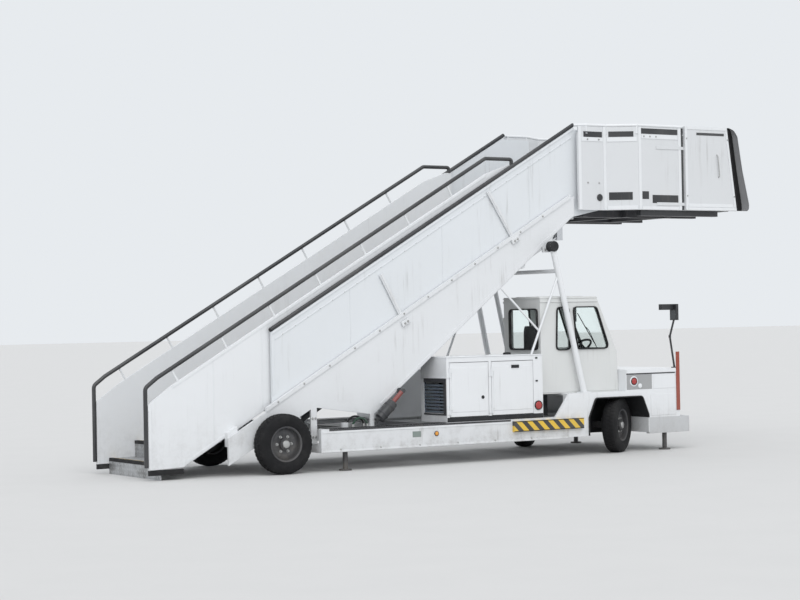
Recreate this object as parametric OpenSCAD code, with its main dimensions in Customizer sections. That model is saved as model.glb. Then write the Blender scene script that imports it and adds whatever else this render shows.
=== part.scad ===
/* [Flights] */
// Height from one tread to the next
rise = 190; // [170:1:200]
// Depth from one tread's nosing to the next
going = 334; // [300:1:360]
// Distance from the side of the body to the inside of the lower flight's panels
side_room = 360; // [355:5:400]
// Number of treads on the lower flight
lower_treads = 15; // [12:1:16]
// Number of treads on the telescoping upper flight
upper_treads = 12; // [10:1:12]
// Height of the first tread above the ground
first_tread_z = 185; // [150:1:210]
// Distance from the foot to the nosing of the first tread
first_tread_x = 150; // [120:1:200]
// Thickness of the tread and riser plate
tread_t = 30; // [20:1:34]
// Height of the lower handrail above its nosing line
lower_rail_h = 985; // [900:5:1100]
// Height of the upper handrail above its nosing line
upper_rail_h = 985; // [900:5:1100]
// Diameter of the handrail tubes
rail_d = 48; // [38:1:60]
// Thickness of each side panel
panel_t = 30; // [20:1:34]
// Free space between two side panels that slide past each other
slide_gap = 6; // [5:0.5:12]
// Height of the open band between the lower handrail and its panel
hand_gap = 190; // [120:5:260]
// How far below its nosing line a flight's soffit lies
soffit_drop = 236; // [225:1:245]

/* [Platform] */
// Height of the platform floor above the ground as parked
floor_z = 3215; // [3100:5:3300]
// Distance from the foot to the platform's rear edge
platform_x = 6000; // [5900:5:6100]
// Distance from the foot to the platform's front edge
platform_front_x = 8300; // [8100:5:8500]
// Width across the outside of the platform walls
platform_w = 2180; // [2050:10:2300]
// Thickness of the platform floor
floor_t = 60; // [40:1:80]
// Height of the platform handrail above the floor
platform_rail_h = 985; // [900:5:1100]
// Length of the platform wall that runs straight on from the flight
straight_l = 450; // [350:5:500]
// Length along the flight of the part that flares out
flare_l = 350; // [250:5:400]
// Distance from the foot to the rear edge of a sliding side guard
guard_x = 7560; // [7450:5:7650]
// Distance from the foot to the front edge of a sliding side guard at the floor
guard_front_x = 8440; // [8350:5:8500]
// How much farther back the guard's front edge is at its top
guard_lean = 150; // [0:5:200]

/* [Chassis] */
// Overall width of the body
body_w = 2100; // [2000:10:2300]
// Height of the chassis rails' lower edge
rail_z0 = 225; // [200:5:260]
// Height of the chassis rails' upper edge
rail_z1 = 500; // [460:5:520]
// Distance from the foot to the rear axle
rear_axle_x = 1600; // [1580:5:1700]
// Distance from the foot to the front axle
front_axle_x = 6440; // [6400:5:6500]
// Outer diameter of the tyres
tyre_d = 700; // [660:5:720]
// Width of the tyres
tyre_w = 195; // [170:5:205]
// Diameter of the wheel rims
rim_d = 400; // [360:5:420]
// Distance from the body's side to a tyre's middle
tyre_side = 120; // [115:5:125]
// Distance from a front tyre's middle to its kingpin
kingpin_offset = 135; // [130:1:150]
// Angle that the front wheels are turned to the left as parked
parked_steer = 32; // [0:1:35]

/* [Cab and bodywork] */
// Distance from the foot to the cab's rear wall
cab_x0 = 5330; // [5300:5:5360]
// Distance from the foot to the cab's front at its foot
cab_x1 = 6560; // [6500:5:6600]
// Distance from the foot to the front edge of the cab roof
cab_roof_x = 6230; // [6150:5:6300]
// Height of the cab's roof
cab_z1 = 1985; // [1900:5:2050]
// Distance from the middle of the vehicle to the cab's inner wall
cab_y_in = 120; // [60:5:200]
// Distance from the side of the body to the cab's outer wall
cab_side = 150; // [145:5:190]
// Thickness of the cab walls
cab_t = 36; // [28:1:42]
// Distance from the foot to the engine box's rear end
box_x0 = 3800; // [3750:5:3850]
// Distance from the foot to the engine box's front end
box_x1 = 5240; // [5200:5:5260]
// Height of the engine box's top
box_z1 = 1285; // [1250:5:1330]
// Width of the engine box
box_w = 570; // [500:5:620]
// Thickness of the sheet metal boxes' walls
sheet_t = 24; // [20:1:30]
// Distance from the foot to the rear edge of the front bodywork
front_x0 = 5640; // [5620:5:5680]
// Distance from the foot to the front of the bodywork
front_x1 = 7450; // [7400:5:7500]
// Height of the bodywork's flat deck beside the cab
deck_z = 785; // [775:1:795]
// Height of the nose in front of the cab
nose_z = 1060; // [1000:5:1100]
// Height of the bodywork's lower edge
skirt_z = 240; // [220:5:280]

/* [Hidden] */
$fn = 48;

slope = atan(rise / going);
rate = rise / going;
// Height of the lower flight's nosing line above the ground at the foot
lower_nose_z = first_tread_z - rate * first_tread_x;
// Height of the upper flight's nosing line at the foot, from the platform's edge
upper_nose_z = floor_z - rate * platform_x;

// Middles of the side panels' places, from the vehicle's middle outwards
lower_in_y = body_w / 2 - side_room;
lower_out_y = lower_in_y + panel_t;
upper_in_y = lower_out_y + slide_gap + 24;
upper_out_y = upper_in_y + panel_t;
frame_in_y = upper_out_y + slide_gap + 4;
frame_out_y = frame_in_y + panel_t;
flange_t = 14;
wall_in_y = frame_out_y + flange_t + slide_gap + 4;
wall_out_y = wall_in_y + panel_t;

lower_top_x = first_tread_x + going * lower_treads;
upper_low_x = 1550;
upper_rail_z = upper_nose_z + upper_rail_h;
lower_rail_z = lower_nose_z + lower_rail_h;
chord_z = upper_nose_z + 95;
soffit_z = upper_nose_z - soffit_drop;
rail_top_z = floor_z + platform_rail_h;
flat_rail_l = 400;
rail_end_x = 4670;

// The frame's deep side plate: its lowest corner stands on the chassis
gusset_x = 2880;
gusset_z = 640;
gusset_back_x = 2080;
frame_end_x = 5960;
frame_end_z = 3045;

post_foot = [5935, deck_z];
post_top = [5520, 2640];
post_d = 75;
cross_d = 50;
cross_z = 2330;
stay_z = 2290;
stay_lean = 0.438;
stay_d = 30;
brace_z = [2125, 1590];
brace_x0 = 4780;
brace_d = 26;
post_y_foot = body_w / 2 - 65;
post_y_top = frame_out_y + 110;
inner_post_y = 500;
inner_post_d = 60;

extension_z = upper_nose_z - 450;
extension_x = 2000;
barrel_l = 2400;
rod_start = 600;
rod_bracket_x = 6050;
barrel_d = 90;
rod_d = 56;
barrel_y = 330;

arch_r0 = 485;
arch_z = 712;
axle_z = tyre_d / 2;
axle_d = 70;
spindle_d = 50;
fit_gap = 0.05;
track = body_w - 2 * tyre_side;
kingpin_y = track / 2 - kingpin_offset;

jack_d = 60;
jack_foot_t = 18;
jack_x_front = 7270;
jack_x_rear = 2420;
jack_tube_d = 88;
rail_t = 60;
jack_y = body_w / 2 - rail_t - jack_tube_d / 2;
deck_in_y = jack_y - jack_tube_d / 2 - 58;
beam_y = body_w / 5;
beam_w = 80;
beam_z1 = 470;
cab_y_out = body_w / 2 - cab_side;
tank_z1 = 1100;

wall_bottom_z = floor_z - 105;
platform_y = platform_w / 2;
straight_x = platform_x + straight_l;
flare_x = straight_x + flare_l;
guard_gap = 8;
guard_in_y = platform_y + guard_gap;
guard_t = 30;

bumper_x0 = front_axle_x + arch_r0 + 10;
bumper_x1 = front_x1 + 200;
bumper_r = 80;
bumper_z0 = 225;
bumper_z1 = 430;
liner_t = 20;
cab_z0 = deck_z;
// The seat stands between the cab's walls with these gaps, and the steering wheel before its middle
seat_out_y = cab_y_out - 120;
seat_in_y = cab_y_in + 170;
seat_x = cab_x0 + 150;
seat_l = 480;
seat_z = cab_z0 + cab_t + 150;
seal_l = 220;
seal_t = 50;
// Where the middle of the vehicle's length lies, which is the part's origin
origin_x = (guard_front_x + seal_l - rail_d) / 2;
// The frame's low end, behind the rear axle
frame_x0 = 950;
rail_x0 = 2040;
hinge_d = 22;

// Height of a line with the flights' slope at distance x, from its height at the foot
function on(z0, x) = z0 + rate * x;

// Distance of a front post's middle from the foot at height z
function post_x(z) = post_top[0]
    + (post_foot[0] - post_top[0]) * (post_top[1] - z) / (post_top[1] - post_foot[1]);

// A band of the slope's direction between two heights, from x0 to x1
function band(z_low, z_high, x0, x1) =
    [[x0, on(z_low, x0)], [x1, on(z_low, x1)], [x1, on(z_high, x1)], [x0, on(z_high, x0)]];

// A plate in the side view, between y0 and y1
module side_plate(y0, y1) {
    translate([0, y1, 0])
        rotate([90, 0, 0])
            linear_extrude(y1 - y0)
                children();
}

// The same plate on the left side and on the right side
module both_sides(y0, y1) {
    side_plate(y0, y1) children();
    side_plate(-y1, -y0) children();
}

module box_at(x0, x1, y0, y1, z0, z1) {
    translate([x0, y0, z0])
        cube([x1 - x0, y1 - y0, z1 - z0]);
}

// The same box on the right side and on the left side
module both_boxes(x0, x1, y0, y1, z0, z1) {
    box_at(x0, x1, y0, y1, z0, z1);
    box_at(x0, x1, -y1, -y0, z0, z1);
}

// A round bar from point a to point b
module bar(a, b, d) {
    v = b - a;
    l = norm(v);
    translate(a)
        rotate([0, acos(v[2] / l), atan2(v[1], v[0])])
            rotate([0, 0, 40])
                cylinder(h = l, d = d);
}

function unit(v) = v / norm(v);

// Bars through a list of points with a short sleeve at each joint
module bent_bar(points, d) {
    for (i = [0 : len(points) - 2])
        bar(points[i], points[i + 1], d);
    for (i = [1 : len(points) - 2]) {
        u = unit(unit(points[i] - points[i - 1]) + unit(points[i + 1] - points[i]));
        bar(points[i] - 0.6 * d * u, points[i] + 0.6 * d * u, d + 8);
    }
}

// A sawtooth of treads and risers that climbs from the first nosing
module flight_profile(x0, z0, count) {
    top = [for (i = [0 : count - 1]) each [
        [x0 + i * going, z0 + i * rise - rise],
        [x0 + i * going, z0 + i * rise],
        [x0 + (i + 1) * going, z0 + i * rise]]];
    low = [for (i = [count - 1 : -1 : 0]) each [
        [x0 + (i + 1) * going, z0 + i * rise - tread_t],
        [x0 + i * going + tread_t / 2, z0 + i * rise - tread_t],
        [x0 + i * going + tread_t / 2, z0 + i * rise - rise - (i == 0 ? 0 : tread_t)]]];
    polygon(concat([for (i = [0 : len(top) - 1]) if (i == 0 || top[i] != top[i - 1]) top[i]], low));
}

// Root body

module chassis_frame() {
    color("white") {
        both_boxes(rail_x0, front_x0, body_w / 2 - rail_t, body_w / 2, rail_z0, rail_z1);
        both_boxes(rail_x0, front_x0 - 60, beam_y - beam_w / 2, beam_y + beam_w / 2, 330, beam_z1);
        both_boxes(front_x0 - 60, front_x1 - 160, beam_y - beam_w / 2, beam_y + beam_w / 2, axle_z + 50, beam_z1);
        for (x = [rail_x0, 3400, 4600, 5500])
            box_at(x, x + 80, -body_w / 2 + rail_t, body_w / 2 - rail_t, rail_z0, rail_z0 + 105);
        difference() {
            both_boxes(extension_x - 20, extension_x + 120, barrel_y - 30, barrel_y + 30, rail_z0 + 40,
                on(extension_z, extension_x) - barrel_d / 2 + 12);
            extension_axis()
                translate([0, 0, -150])
                    rotate([0, 0, 90])
                        cylinder(h = 600, d = barrel_d);
        }
    }
}

module frame_side_profile() {
    polygon([
        [frame_x0, on(soffit_z, frame_x0) + 20], [gusset_back_x, on(soffit_z, gusset_back_x)],
        [gusset_x - 30, gusset_z], [gusset_x + 28, gusset_z],
        [frame_end_x, frame_end_z], [frame_end_x, on(chord_z, frame_end_x)],
        [frame_x0, on(chord_z, frame_x0)]]);
}

module stair_frame() {
    color("white") {
        both_sides(frame_in_y, frame_out_y)
            difference() {
                union() {
                    frame_side_profile();
                    polygon([[rear_axle_x - 90, axle_z - 60], [rear_axle_x + 90, axle_z - 60],
                        [rear_axle_x + 200, on(soffit_z, rear_axle_x + 200) + 40],
                        [rear_axle_x - 120, on(soffit_z, rear_axle_x - 120) + 40]]);
                    translate([rail_x0, rail_z0 + 105])
                        square([80, on(soffit_z, rail_x0) - rail_z0]);
                    polygon([[post_top[0] - 90, post_top[1] + 60], [post_top[0] - 60, post_top[1] - 70],
                        [post_top[0] + 60, post_top[1] - 70], [post_top[0] + 100, post_top[1] + 170]]);
                }
                translate([rear_axle_x, axle_z])
                    circle(d = axle_d);
            }
        both_sides(frame_in_y, frame_out_y + flange_t)
            polygon(band(chord_z, chord_z + 50, 1450, frame_end_x - 60));
        both_sides(upper_out_y + 0.3, frame_in_y)
            polygon(band(chord_z - 160, chord_z - 100, 2500, frame_end_x - 40));
        for (s = [-1, 1])
            box_at(gusset_x - 110, gusset_x + 130, s > 0 ? frame_in_y : -body_w / 2 + rail_t,
                s > 0 ? body_w / 2 - rail_t : -frame_in_y, rail_z1 - 60, rail_z1 - 20);
        both_sides(frame_in_y, frame_out_y)
            translate([gusset_x - 30, rail_z1 - 20])
                square([58, gusset_z - rail_z1 + 20]);
        for (x = [1850, 2600, 3700, 4700, 5150])
            translate([x, 0, on(soffit_z, x) - 85])
                rotate([90, 0, 0])
                    cylinder(h = 2 * frame_in_y, d = 90, center = true);
        both_sides(frame_in_y, frame_out_y)
            for (x = [1850, 2600])
                translate([x, on(soffit_z, x) - 60])
                    square([110, 160], center = true);
    }
}

module front_posts() {
    color("white") {
        for (s = [-1, 1]) {
            bar([post_foot[0], s * post_y_foot, post_foot[1] + 8],
                [post_top[0], s * post_y_top, post_top[1]], post_d);
            translate([post_top[0], s * post_y_top, post_top[1]])
                rotate([90, 0, 0])
                    cylinder(h = 96, d = 130, center = true);
            translate([post_top[0], s * (frame_out_y + post_y_top - 30) / 2, post_top[1]])
                rotate([90, 0, 0])
                    cylinder(h = post_y_top - 30 - frame_out_y, d = 60, center = true);
            box_at(post_foot[0] - 70, post_foot[0] + 70, s * post_y_foot - 60, s * post_y_foot + 60,
                deck_z, deck_z + 16);
        }
        bar([post_x(cross_z), -post_y_top, cross_z], [post_x(cross_z), post_y_top, cross_z], cross_d);
        bar([post_foot[0], inner_post_y, deck_z + 8], [post_x(cross_z), inner_post_y, cross_z], inner_post_d);
        box_at(post_foot[0] - 60, post_foot[0] + 60, inner_post_y - 60, inner_post_y + 60, deck_z, deck_z + 16);
        for (side = [[-1, box_z1], [1, tank_z1]])
            front_stays(side[0], side[1]);
    }
}

// The thin bars behind a front post: one down to the box of height foot_z, one to the stairs' frame
module front_stays(s, foot_z) {
    foot_x = post_x(stay_z) - stay_lean * (stay_z - foot_z);
    bar([post_x(stay_z), s * (post_y_top + 8), stay_z], [foot_x, s * post_y_top, foot_z + 6], stay_d);
    box_at(foot_x - 40, foot_x + 40, s * post_y_top - 40, s * post_y_top + 40, foot_z, foot_z + 10);
    bar([brace_x0, s * (frame_out_y + brace_d / 2 + 0.5), brace_z[0]],
        [post_x(stay_z) - stay_lean * (stay_z - brace_z[1]), s * (post_y_top - 20), brace_z[1]], brace_d);
}

module deck_plates() {
    color("dimgray") {
        difference() {
            for (r = [[rail_x0 + 100, gusset_x - 120], [gusset_x + 140, box_x0 - 2]])
                both_boxes(r[0], r[1], deck_in_y, body_w / 2, rail_z1, rail_z1 + 6);
            for (s = [-1, 1])
                translate([jack_x_rear, s * jack_y, 0])
                    cylinder(h = 2 * rail_z1, d = jack_tube_d);
        }
        box_at(gusset_x - 180, box_x0, -beam_y + 20, beam_y - 20, beam_z1, beam_z1 + 8);
    }
}

module lower_panel_profile() {
    z_end = on(lower_rail_z - hand_gap, rail_end_x) + 118;
    polygon([
        [0, 120], [430, 138], [lower_top_x - 60, on(lower_nose_z - soffit_drop + 30, lower_top_x - 60)],
        [lower_top_x - 60, z_end], [rail_end_x + flat_rail_l - rail_d, z_end],
        [rail_end_x, on(lower_rail_z - hand_gap, rail_end_x)],
        [300, on(lower_rail_z - hand_gap, 300)], [0, on(lower_rail_z - hand_gap, 0) - 40]]);
}

module lower_side_panels() {
    y = lower_in_y + panel_t / 2;
    open_l = hand_gap * cos(slope) - rail_d / 2;
    color("white") {
        both_sides(lower_in_y, lower_out_y)
            lower_panel_profile();
        both_sides(lower_out_y, frame_in_y)
            polygon(band(chord_z - 100, chord_z + 60, frame_x0 + 5, frame_x0 + 135));
        both_sides(lower_out_y, upper_in_y - 0.3)
            polygon(band(lower_nose_z - 120, lower_nose_z - 60, 4650, lower_top_x - 80));
        for (x = [380, 1010, 1640, 2270, 2900, 3530, 4160], s = [-1, 1])
            bar([x + 20 * sin(slope), s * y, on(lower_rail_z - hand_gap, x) - 20 * cos(slope)],
                [x - open_l * sin(slope), s * y, on(lower_rail_z - hand_gap, x) + open_l * cos(slope)], 26);
    }
}

module lower_steps() {
    color("silver")
        side_plate(-lower_in_y, lower_in_y)
            flight_profile(first_tread_x, first_tread_z, lower_treads);
}

module lower_handrails() {
    color("dimgray")
        for (s = [-1, 1]) {
            y = s * (lower_in_y + panel_t / 2);
            bent_bar([[-rail_d / 2, y, 150], [-rail_d / 2, y, on(lower_rail_z, 0) - 40],
                [120, y, on(lower_rail_z, 120)],
                [rail_end_x, y, on(lower_rail_z, rail_end_x)],
                [rail_end_x + flat_rail_l, y, on(lower_rail_z, rail_end_x)],
                [rail_end_x + flat_rail_l, y, on(lower_rail_z - hand_gap, rail_end_x) + 118]], rail_d);
        }
}

module foot_edges() {
    color("black")
        both_sides(lower_in_y, lower_out_y + 5)
            translate([0, 60])
                square([430, 60]);
}

module engine_box() {
    y0 = -body_w / 2;
    color("white")
        difference() {
            box_at(box_x0, box_x1, y0, y0 + box_w, rail_z1, box_z1);
            box_at(box_x0 + sheet_t, box_x1 - sheet_t, y0 + sheet_t, y0 + box_w - sheet_t,
                rail_z1 + sheet_t, box_z1 - sheet_t);
            for (x = [[box_x0 + 40, box_x0 + 620], [box_x0 + 660, box_x1 - 144]])
                box_at(x[0], x[1], y0 - 1, y0 + sheet_t + 1, rail_z1 + 60, box_z1 - 60);
            box_at(box_x0 - 1, box_x0 + sheet_t + 1, y0 + 70, y0 + box_w - 70, rail_z1 + 110, rail_z1 + 485);
        }
    color("white")
        for (x = [box_x0 + 43, box_x0 + 663])
            hinge_half(x, y0, -1, [for (h = [590, 1040]) [h, h + 59]]);
}

module engine_block() {
    color("dimgray")
        box_at(box_x0 + 240, box_x1 - 200, -body_w / 2 + 90, -body_w / 2 + box_w - 60, rail_z1 + sheet_t,
            rail_z1 + 590);
}

module radiator_grille() {
    y0 = -body_w / 2;
    color("darkslategray") {
        for (i = [0 : 8])
            box_at(box_x0 + 4, box_x0 + sheet_t - 4, y0 + 70.3, y0 + box_w - 70.3,
                rail_z1 + 116 + i * 40, rail_z1 + 138 + i * 40);
        for (y = [y0 + 70.3, y0 + box_w - 82.3])
            box_at(box_x0 + 6, box_x0 + sheet_t - 6, y, y + 12, rail_z1 + 110.3, rail_z1 + 484.7);
    }
}

module tank_box() {
    color("white")
        box_at(box_x0, box_x1, body_w / 2 - box_w, body_w / 2, rail_z1, tank_z1);
}

// Outline of the cab in the side view, grown inwards by g
module cab_profile(g) {
    polygon([
        [cab_x0 + g, cab_z0 + g], [cab_x1 - g, cab_z0 + g], [cab_x1 - 20 - g, 1300],
        [cab_roof_x - g, cab_z1 - g], [cab_x0 + g, cab_z1 - g]]);
}

module door_outline(g) {
    polygon([[cab_x0 + cab_t + g, cab_z0 + 30 + g], [5850 - g, cab_z0 + 30 + g], [5800 - g, cab_z1 - 60 - g],
        [cab_x0 + cab_t + g, cab_z1 - 60 - g]]);
}

// Half of a hinge on the outside of a wall: leaf and barrels at the given heights
// x, y: the pin's place on the wall's face; s: side that the leaf lies on
// spans: [low, high] of each barrel; d: the way that the face looks along y
module hinge_half(x, y, s, spans, d = -1) {
    for (z = spans) {
        translate([x, y + d * hinge_d / 2, z[0]])
            cylinder(h = z[1] - z[0], d = hinge_d);
        box_at(s > 0 ? x + 6 : x - 46, s > 0 ? x + 46 : x - 6, min(y, y + 6 * d), max(y, y + 6 * d), z[0], z[1]);
        box_at(s > 0 ? x : x - 10, s > 0 ? x + 10 : x, min(y + 2 * d, y + 10 * d), max(y + 2 * d, y + 10 * d),
            z[0], z[1]);
    }
}

module door_window_outline(g) {
    polygon([[5450 + g, 1350 + g], [5770 - g, 1350 + g], [5730 - g, 1860 - g], [5450 + g, 1860 - g]]);
}

module side_window_outline(g) {
    polygon([[5905 + g, 1345 + g], [6405 - g, 1345 + g], [6215 - g, 1868 - g], [5850 + g, 1868 - g]]);
}

module rear_side_window_outline(g) {
    polygon([[5575 + g, 1340 + g], [5785 - g, 1340 + g], [5775 - g, 1868 - g], [5595 + g, 1868 - g]]);
}

module rear_window_cut(g, d) {
    box_at(cab_x0 - d, cab_x0 + cab_t + d, -cab_y_out + 55 + g, -cab_y_in - 135 - g, 1350 + g, 1850 - g);
}

module windscreen_cut(g, d) {
    side_plate(-cab_y_out + 70 + g, -cab_y_in - 70 - g)
        polygon([[cab_x1 - 50 - d, 1330 + g], [cab_x1 + d, 1330 + g], [cab_roof_x + 50 + d, 1900 - g],
            [cab_roof_x - 10 - d, 1900 - g]]);
}

module cab_shell() {
    color("gainsboro")
        difference() {
            side_plate(-cab_y_out, -cab_y_in)
                cab_profile(0);
            side_plate(-cab_y_out + cab_t, -cab_y_in - cab_t)
                cab_profile(cab_t);
            side_plate(-cab_y_in - cab_t - 1, -cab_y_in + 1) {
                door_outline(-6);
                side_window_outline(0);
            }
            side_plate(-cab_y_out - 1, -cab_y_out + cab_t + 1) {
                side_window_outline(0);
                rear_side_window_outline(0);
            }
            rear_window_cut(0, 1);
            windscreen_cut(0, 40);
        }
    color("gainsboro")
        hinge_half(cab_x0 + cab_t - 3, -cab_y_in, -1, [for (z = [890, 1690]) [z, z + 59]], 1);
}

module cab_windows() {
    color("lightblue") {
        side_plate(-cab_y_out + 14, -cab_y_out + 22) {
            side_window_outline(0.5);
            rear_side_window_outline(0.5);
        }
        side_plate(-cab_y_in - 22, -cab_y_in - 14)
            side_window_outline(0.5);
        translate([14, 0, 0])
            box_at(cab_x0, cab_x0 + 8, -cab_y_out + 55.5, -cab_y_in - 135.5, 1350.5, 1849.5);
        intersection() {
            windscreen_cut(0.5, 40);
            side_plate(-cab_y_out, -cab_y_in)
                difference() {
                    cab_profile(14);
                    cab_profile(22);
                }
        }
    }
}

module cab_seat() {
    color("black") {
        box_at(seat_x, seat_x + seat_l, -seat_out_y, -seat_in_y, seat_z, seat_z + 120);
        box_at(seat_x - 10, seat_x + 110, -seat_out_y + 10, -seat_in_y - 10, seat_z + 120.3, seat_z + 679);
        box_at(seat_x + 80, seat_x + seat_l - 80, -seat_out_y + 100, -seat_in_y - 100,
            cab_z0 + cab_t, seat_z);
    }
}

wheel_at = [cab_x1 - 355, -(seat_out_y + seat_in_y) / 2, cab_z0 + 560];
wheel_tilt = 35;
wheel_axis = [-sin(wheel_tilt), 0, cos(wheel_tilt)];

module dash() {
    color("dimgray") {
        box_at(cab_x1 - 260, cab_x1 - 60, -cab_y_out + 60, -cab_y_in - 60, cab_z0 + cab_t, cab_z0 + 395);
        bar(wheel_at - 235 * wheel_axis, wheel_at - 15 * wheel_axis, 50);
    }
}

module steering_wheel() {
    color("black")
        translate(wheel_at)
            rotate([0, -wheel_tilt, 0]) {
                rotate_extrude()
                    translate([180, 0])
                        circle(d = 28);
                cylinder(h = 30, d = 90, center = true);
                for (a = [30, 150, 270])
                    rotate([0, 0, a])
                        translate([30, -14, -5])
                            cube([148, 28, 10]);
            }
}

// The space over each front wheel, grown outwards by g
module arch_cut(g) {
    for (s = [-1, 1])
        translate([front_axle_x, s * (body_w / 2 - 230), 0])
            rotate([90, 0, 0])
                linear_extrude(520 + 2 * g, center = true)
                    polygon([[-arch_r0 - g, g > 0 ? 0 : skirt_z - 1], [arch_r0 + g, g > 0 ? 0 : skirt_z - 1],
                        [arch_r0 + g, 470], [arch_r0 - 100 + g / 2, arch_z + g],
                        [-arch_r0 + 110 - g / 2, arch_z + g], [-arch_r0 - g, 470]]);
}

module front_shell(g) {
    box_at(front_x0 + g, front_x1 - g, -body_w / 2 + g, body_w / 2 - g, g == 0 ? skirt_z : 0, deck_z - g);
    box_at(cab_x1 + g, front_x1 - g, -body_w / 2 + g, body_w / 2 - g, deck_z - g - 1, nose_z - g);
}

module front_body() {
    color("white")
        both_sides(body_w / 2 - sheet_t, body_w / 2)
            polygon([[front_x0 + 1, deck_z], [front_x0 + 1, rail_z1], [front_x0 - 215, rail_z1]]);
    color("white")
        difference() {
            front_shell(0);
            difference() {
                front_shell(sheet_t);
                arch_cut(liner_t);
                for (s = [-1, 1])
                    translate([jack_x_front, s * jack_y, 0])
                        cylinder(h = 690, d = jack_tube_d + 2 * liner_t);
            }
            arch_cut(0);
            box_at(front_axle_x - 90, front_axle_x + 90, -kingpin_y, kingpin_y, skirt_z - 1, axle_z + 80);
            box_at(front_x0 - 1, front_x0 + sheet_t + 1, -body_w / 2 + 120, body_w / 2 - 120,
                skirt_z - 1, deck_z - sheet_t);
            box_at(bumper_x0, front_x1 + 1, -body_w / 2 - 1, body_w / 2 + 1, skirt_z - 1, bumper_z1);
            for (s = [-1, 1])
                translate([jack_x_front, s * jack_y, 0])
                    cylinder(h = 690, d = jack_tube_d);
        }
}

// Plan of the bumper's outside, smaller by g
module bumper_plan(g) {
    back = bumper_x0 - (g > 0 ? 1 : 0);
    translate([back, -body_w / 2 + g])
        square([bumper_x1 - bumper_r - back, body_w - 2 * g]);
    translate([back, -body_w / 2 + bumper_r])
        square([bumper_x1 - g - back, body_w - 2 * bumper_r]);
    for (s = [-1, 1])
        translate([bumper_x1 - bumper_r, s * (body_w / 2 - bumper_r)])
            circle(r = bumper_r - g);
}

module front_bumper() {
    color("lightgray") {
        translate([0, 0, bumper_z0])
            linear_extrude(bumper_z1 - bumper_z0)
                difference() {
                    bumper_plan(0);
                    bumper_plan(rail_t);
                }
        both_boxes(front_x1 - 160, bumper_x1 - rail_t, beam_y - beam_w / 2, beam_y + beam_w / 2, 330, 430);
        difference() {
            translate([bumper_x1 - 1, -60, 320])
                cube([76, 120, 26]);
            translate([bumper_x1 + 40, 0, 300])
                cylinder(h = 60, d = 50);
        }
    }
}

module mirrors() {
    y = body_w / 2;
    color("black") {
        both_boxes(front_x1 - 80, front_x1 - 20, y - 60, y - 6, nose_z, nose_z + 12);
        for (s = [-1, 1])
            bent_bar([[front_x1 - 50, s * (y - 32), nose_z + 8], [front_x1 - 140, s * (y - 4), 1470],
                [front_x1 - 90, s * (y + 30), 1700]], 26);
        both_boxes(front_x1 - 110, front_x1 - 70, y - 30, y + 95, 1680, 1890);
        both_boxes(front_x1 - 300, front_x1 - 110, y - 25, y + 40, 1815, 1890);
    }
}

module lamps() {
    color("red") {
        for (s = [-1, 1]) {
            translate([front_x1, s * 800, 620])
                rotate([0, 90, 0])
                    cylinder(h = 30, d = 170);
            translate([front_x1 - 760, s * body_w / 2, 906])
                rotate([s * -90, 0, 0])
                    cylinder(h = 20, d = 96);
            translate([3640, s * body_w / 2, 380])
                rotate([s * -90, 0, 0])
                    cylinder(h = 14, d = 60);
        }
        translate([box_x1 - 75, -body_w / 2, rail_z1 + 160])
            rotate([90, 0, 0])
                cylinder(h = 18, d = 116);
    }
}

module hazard_step() {
    color("gold")
        both_boxes(4765, front_x0 + 205, body_w / 2, body_w / 2 + 40, 345, 475);
}

module front_axle() {
    color("dimgray") {
        box_at(front_axle_x - 50, front_axle_x + 50, -kingpin_y + 62, kingpin_y - 62, axle_z - 40, axle_z + 40);
        for (s = [-1, 1], z = [axle_z - 90, axle_z + 60])
            translate([front_axle_x, s * kingpin_y, z])
                cylinder(h = 30, d = 80);
        for (s = [-1, 1])
            box_at(front_axle_x - 40, front_axle_x + 40, min(s * (kingpin_y - 62), s * (kingpin_y - 42)),
                max(s * (kingpin_y - 62), s * (kingpin_y - 42)), axle_z - 90, axle_z + 90);
        for (s = [-1, 1], z = [axle_z - 90, axle_z + 60])
            box_at(front_axle_x - 40, front_axle_x + 40, min(s * (kingpin_y - 45), s * kingpin_y),
                max(s * (kingpin_y - 45), s * kingpin_y), z, z + 30);
        both_boxes(front_axle_x - 60, front_axle_x + 60, beam_y - beam_w / 2, beam_y + beam_w / 2, axle_z + 40,
            axle_z + 50);
    }
}

module rear_axle() {
    color("dimgray")
        translate([rear_axle_x, 0, axle_z])
            rotate([90, 0, 0])
                cylinder(h = track + 60, d = axle_d, center = true);
}

module jack_tubes() {
    color("lightgray")
        for (x = [jack_x_rear, jack_x_front], s = [-1, 1])
            translate([x, s * jack_y, 0])
                difference() {
                    translate([0, 0, 260])
                        cylinder(h = x == jack_x_rear ? 300 : 430, d = jack_tube_d);
                    translate([0, 0, 200])
                        cylinder(h = 600, d = jack_d + 2 * fit_gap);
                }
}

module jack(x, s) {
    color("silver")
        translate([x, s * jack_y, 0]) {
            cylinder(h = jack_foot_t, d = 150);
            cylinder(h = 460, d = jack_d);
        }
}

module jack_rear_right() { jack(jack_x_rear, -1); }
module jack_rear_left() { jack(jack_x_rear, 1); }
module jack_front_right() { jack(jack_x_front, -1); }
module jack_front_left() { jack(jack_x_front, 1); }

// Carries its children to the low end of each extension cylinder, along its axis
module extension_axis() {
    for (s = [-1, 1])
        translate([extension_x, s * barrel_y, on(extension_z, extension_x)])
            rotate([0, 90 - slope, 0])
                children();
}

module extension_barrels() {
    color("dimgray")
        extension_axis()
            difference() {
                cylinder(h = barrel_l, d = barrel_d);
                translate([0, 0, 50])
                    cylinder(h = barrel_l, d = rod_d + 2 * fit_gap);
            }
}

module extension_rods() {
    color("silver") {
        extension_axis()
            translate([0, 0, rod_start])
                cylinder(h = (rod_bracket_x - extension_x) / cos(slope) - rod_start, d = rod_d);
        for (s = [-1, 1])
            box_at(rod_bracket_x - 30, rod_bracket_x + 60, s * barrel_y - 40, s * barrel_y + 40,
                on(extension_z, rod_bracket_x) - 50, floor_z - floor_t);
    }
}

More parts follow.
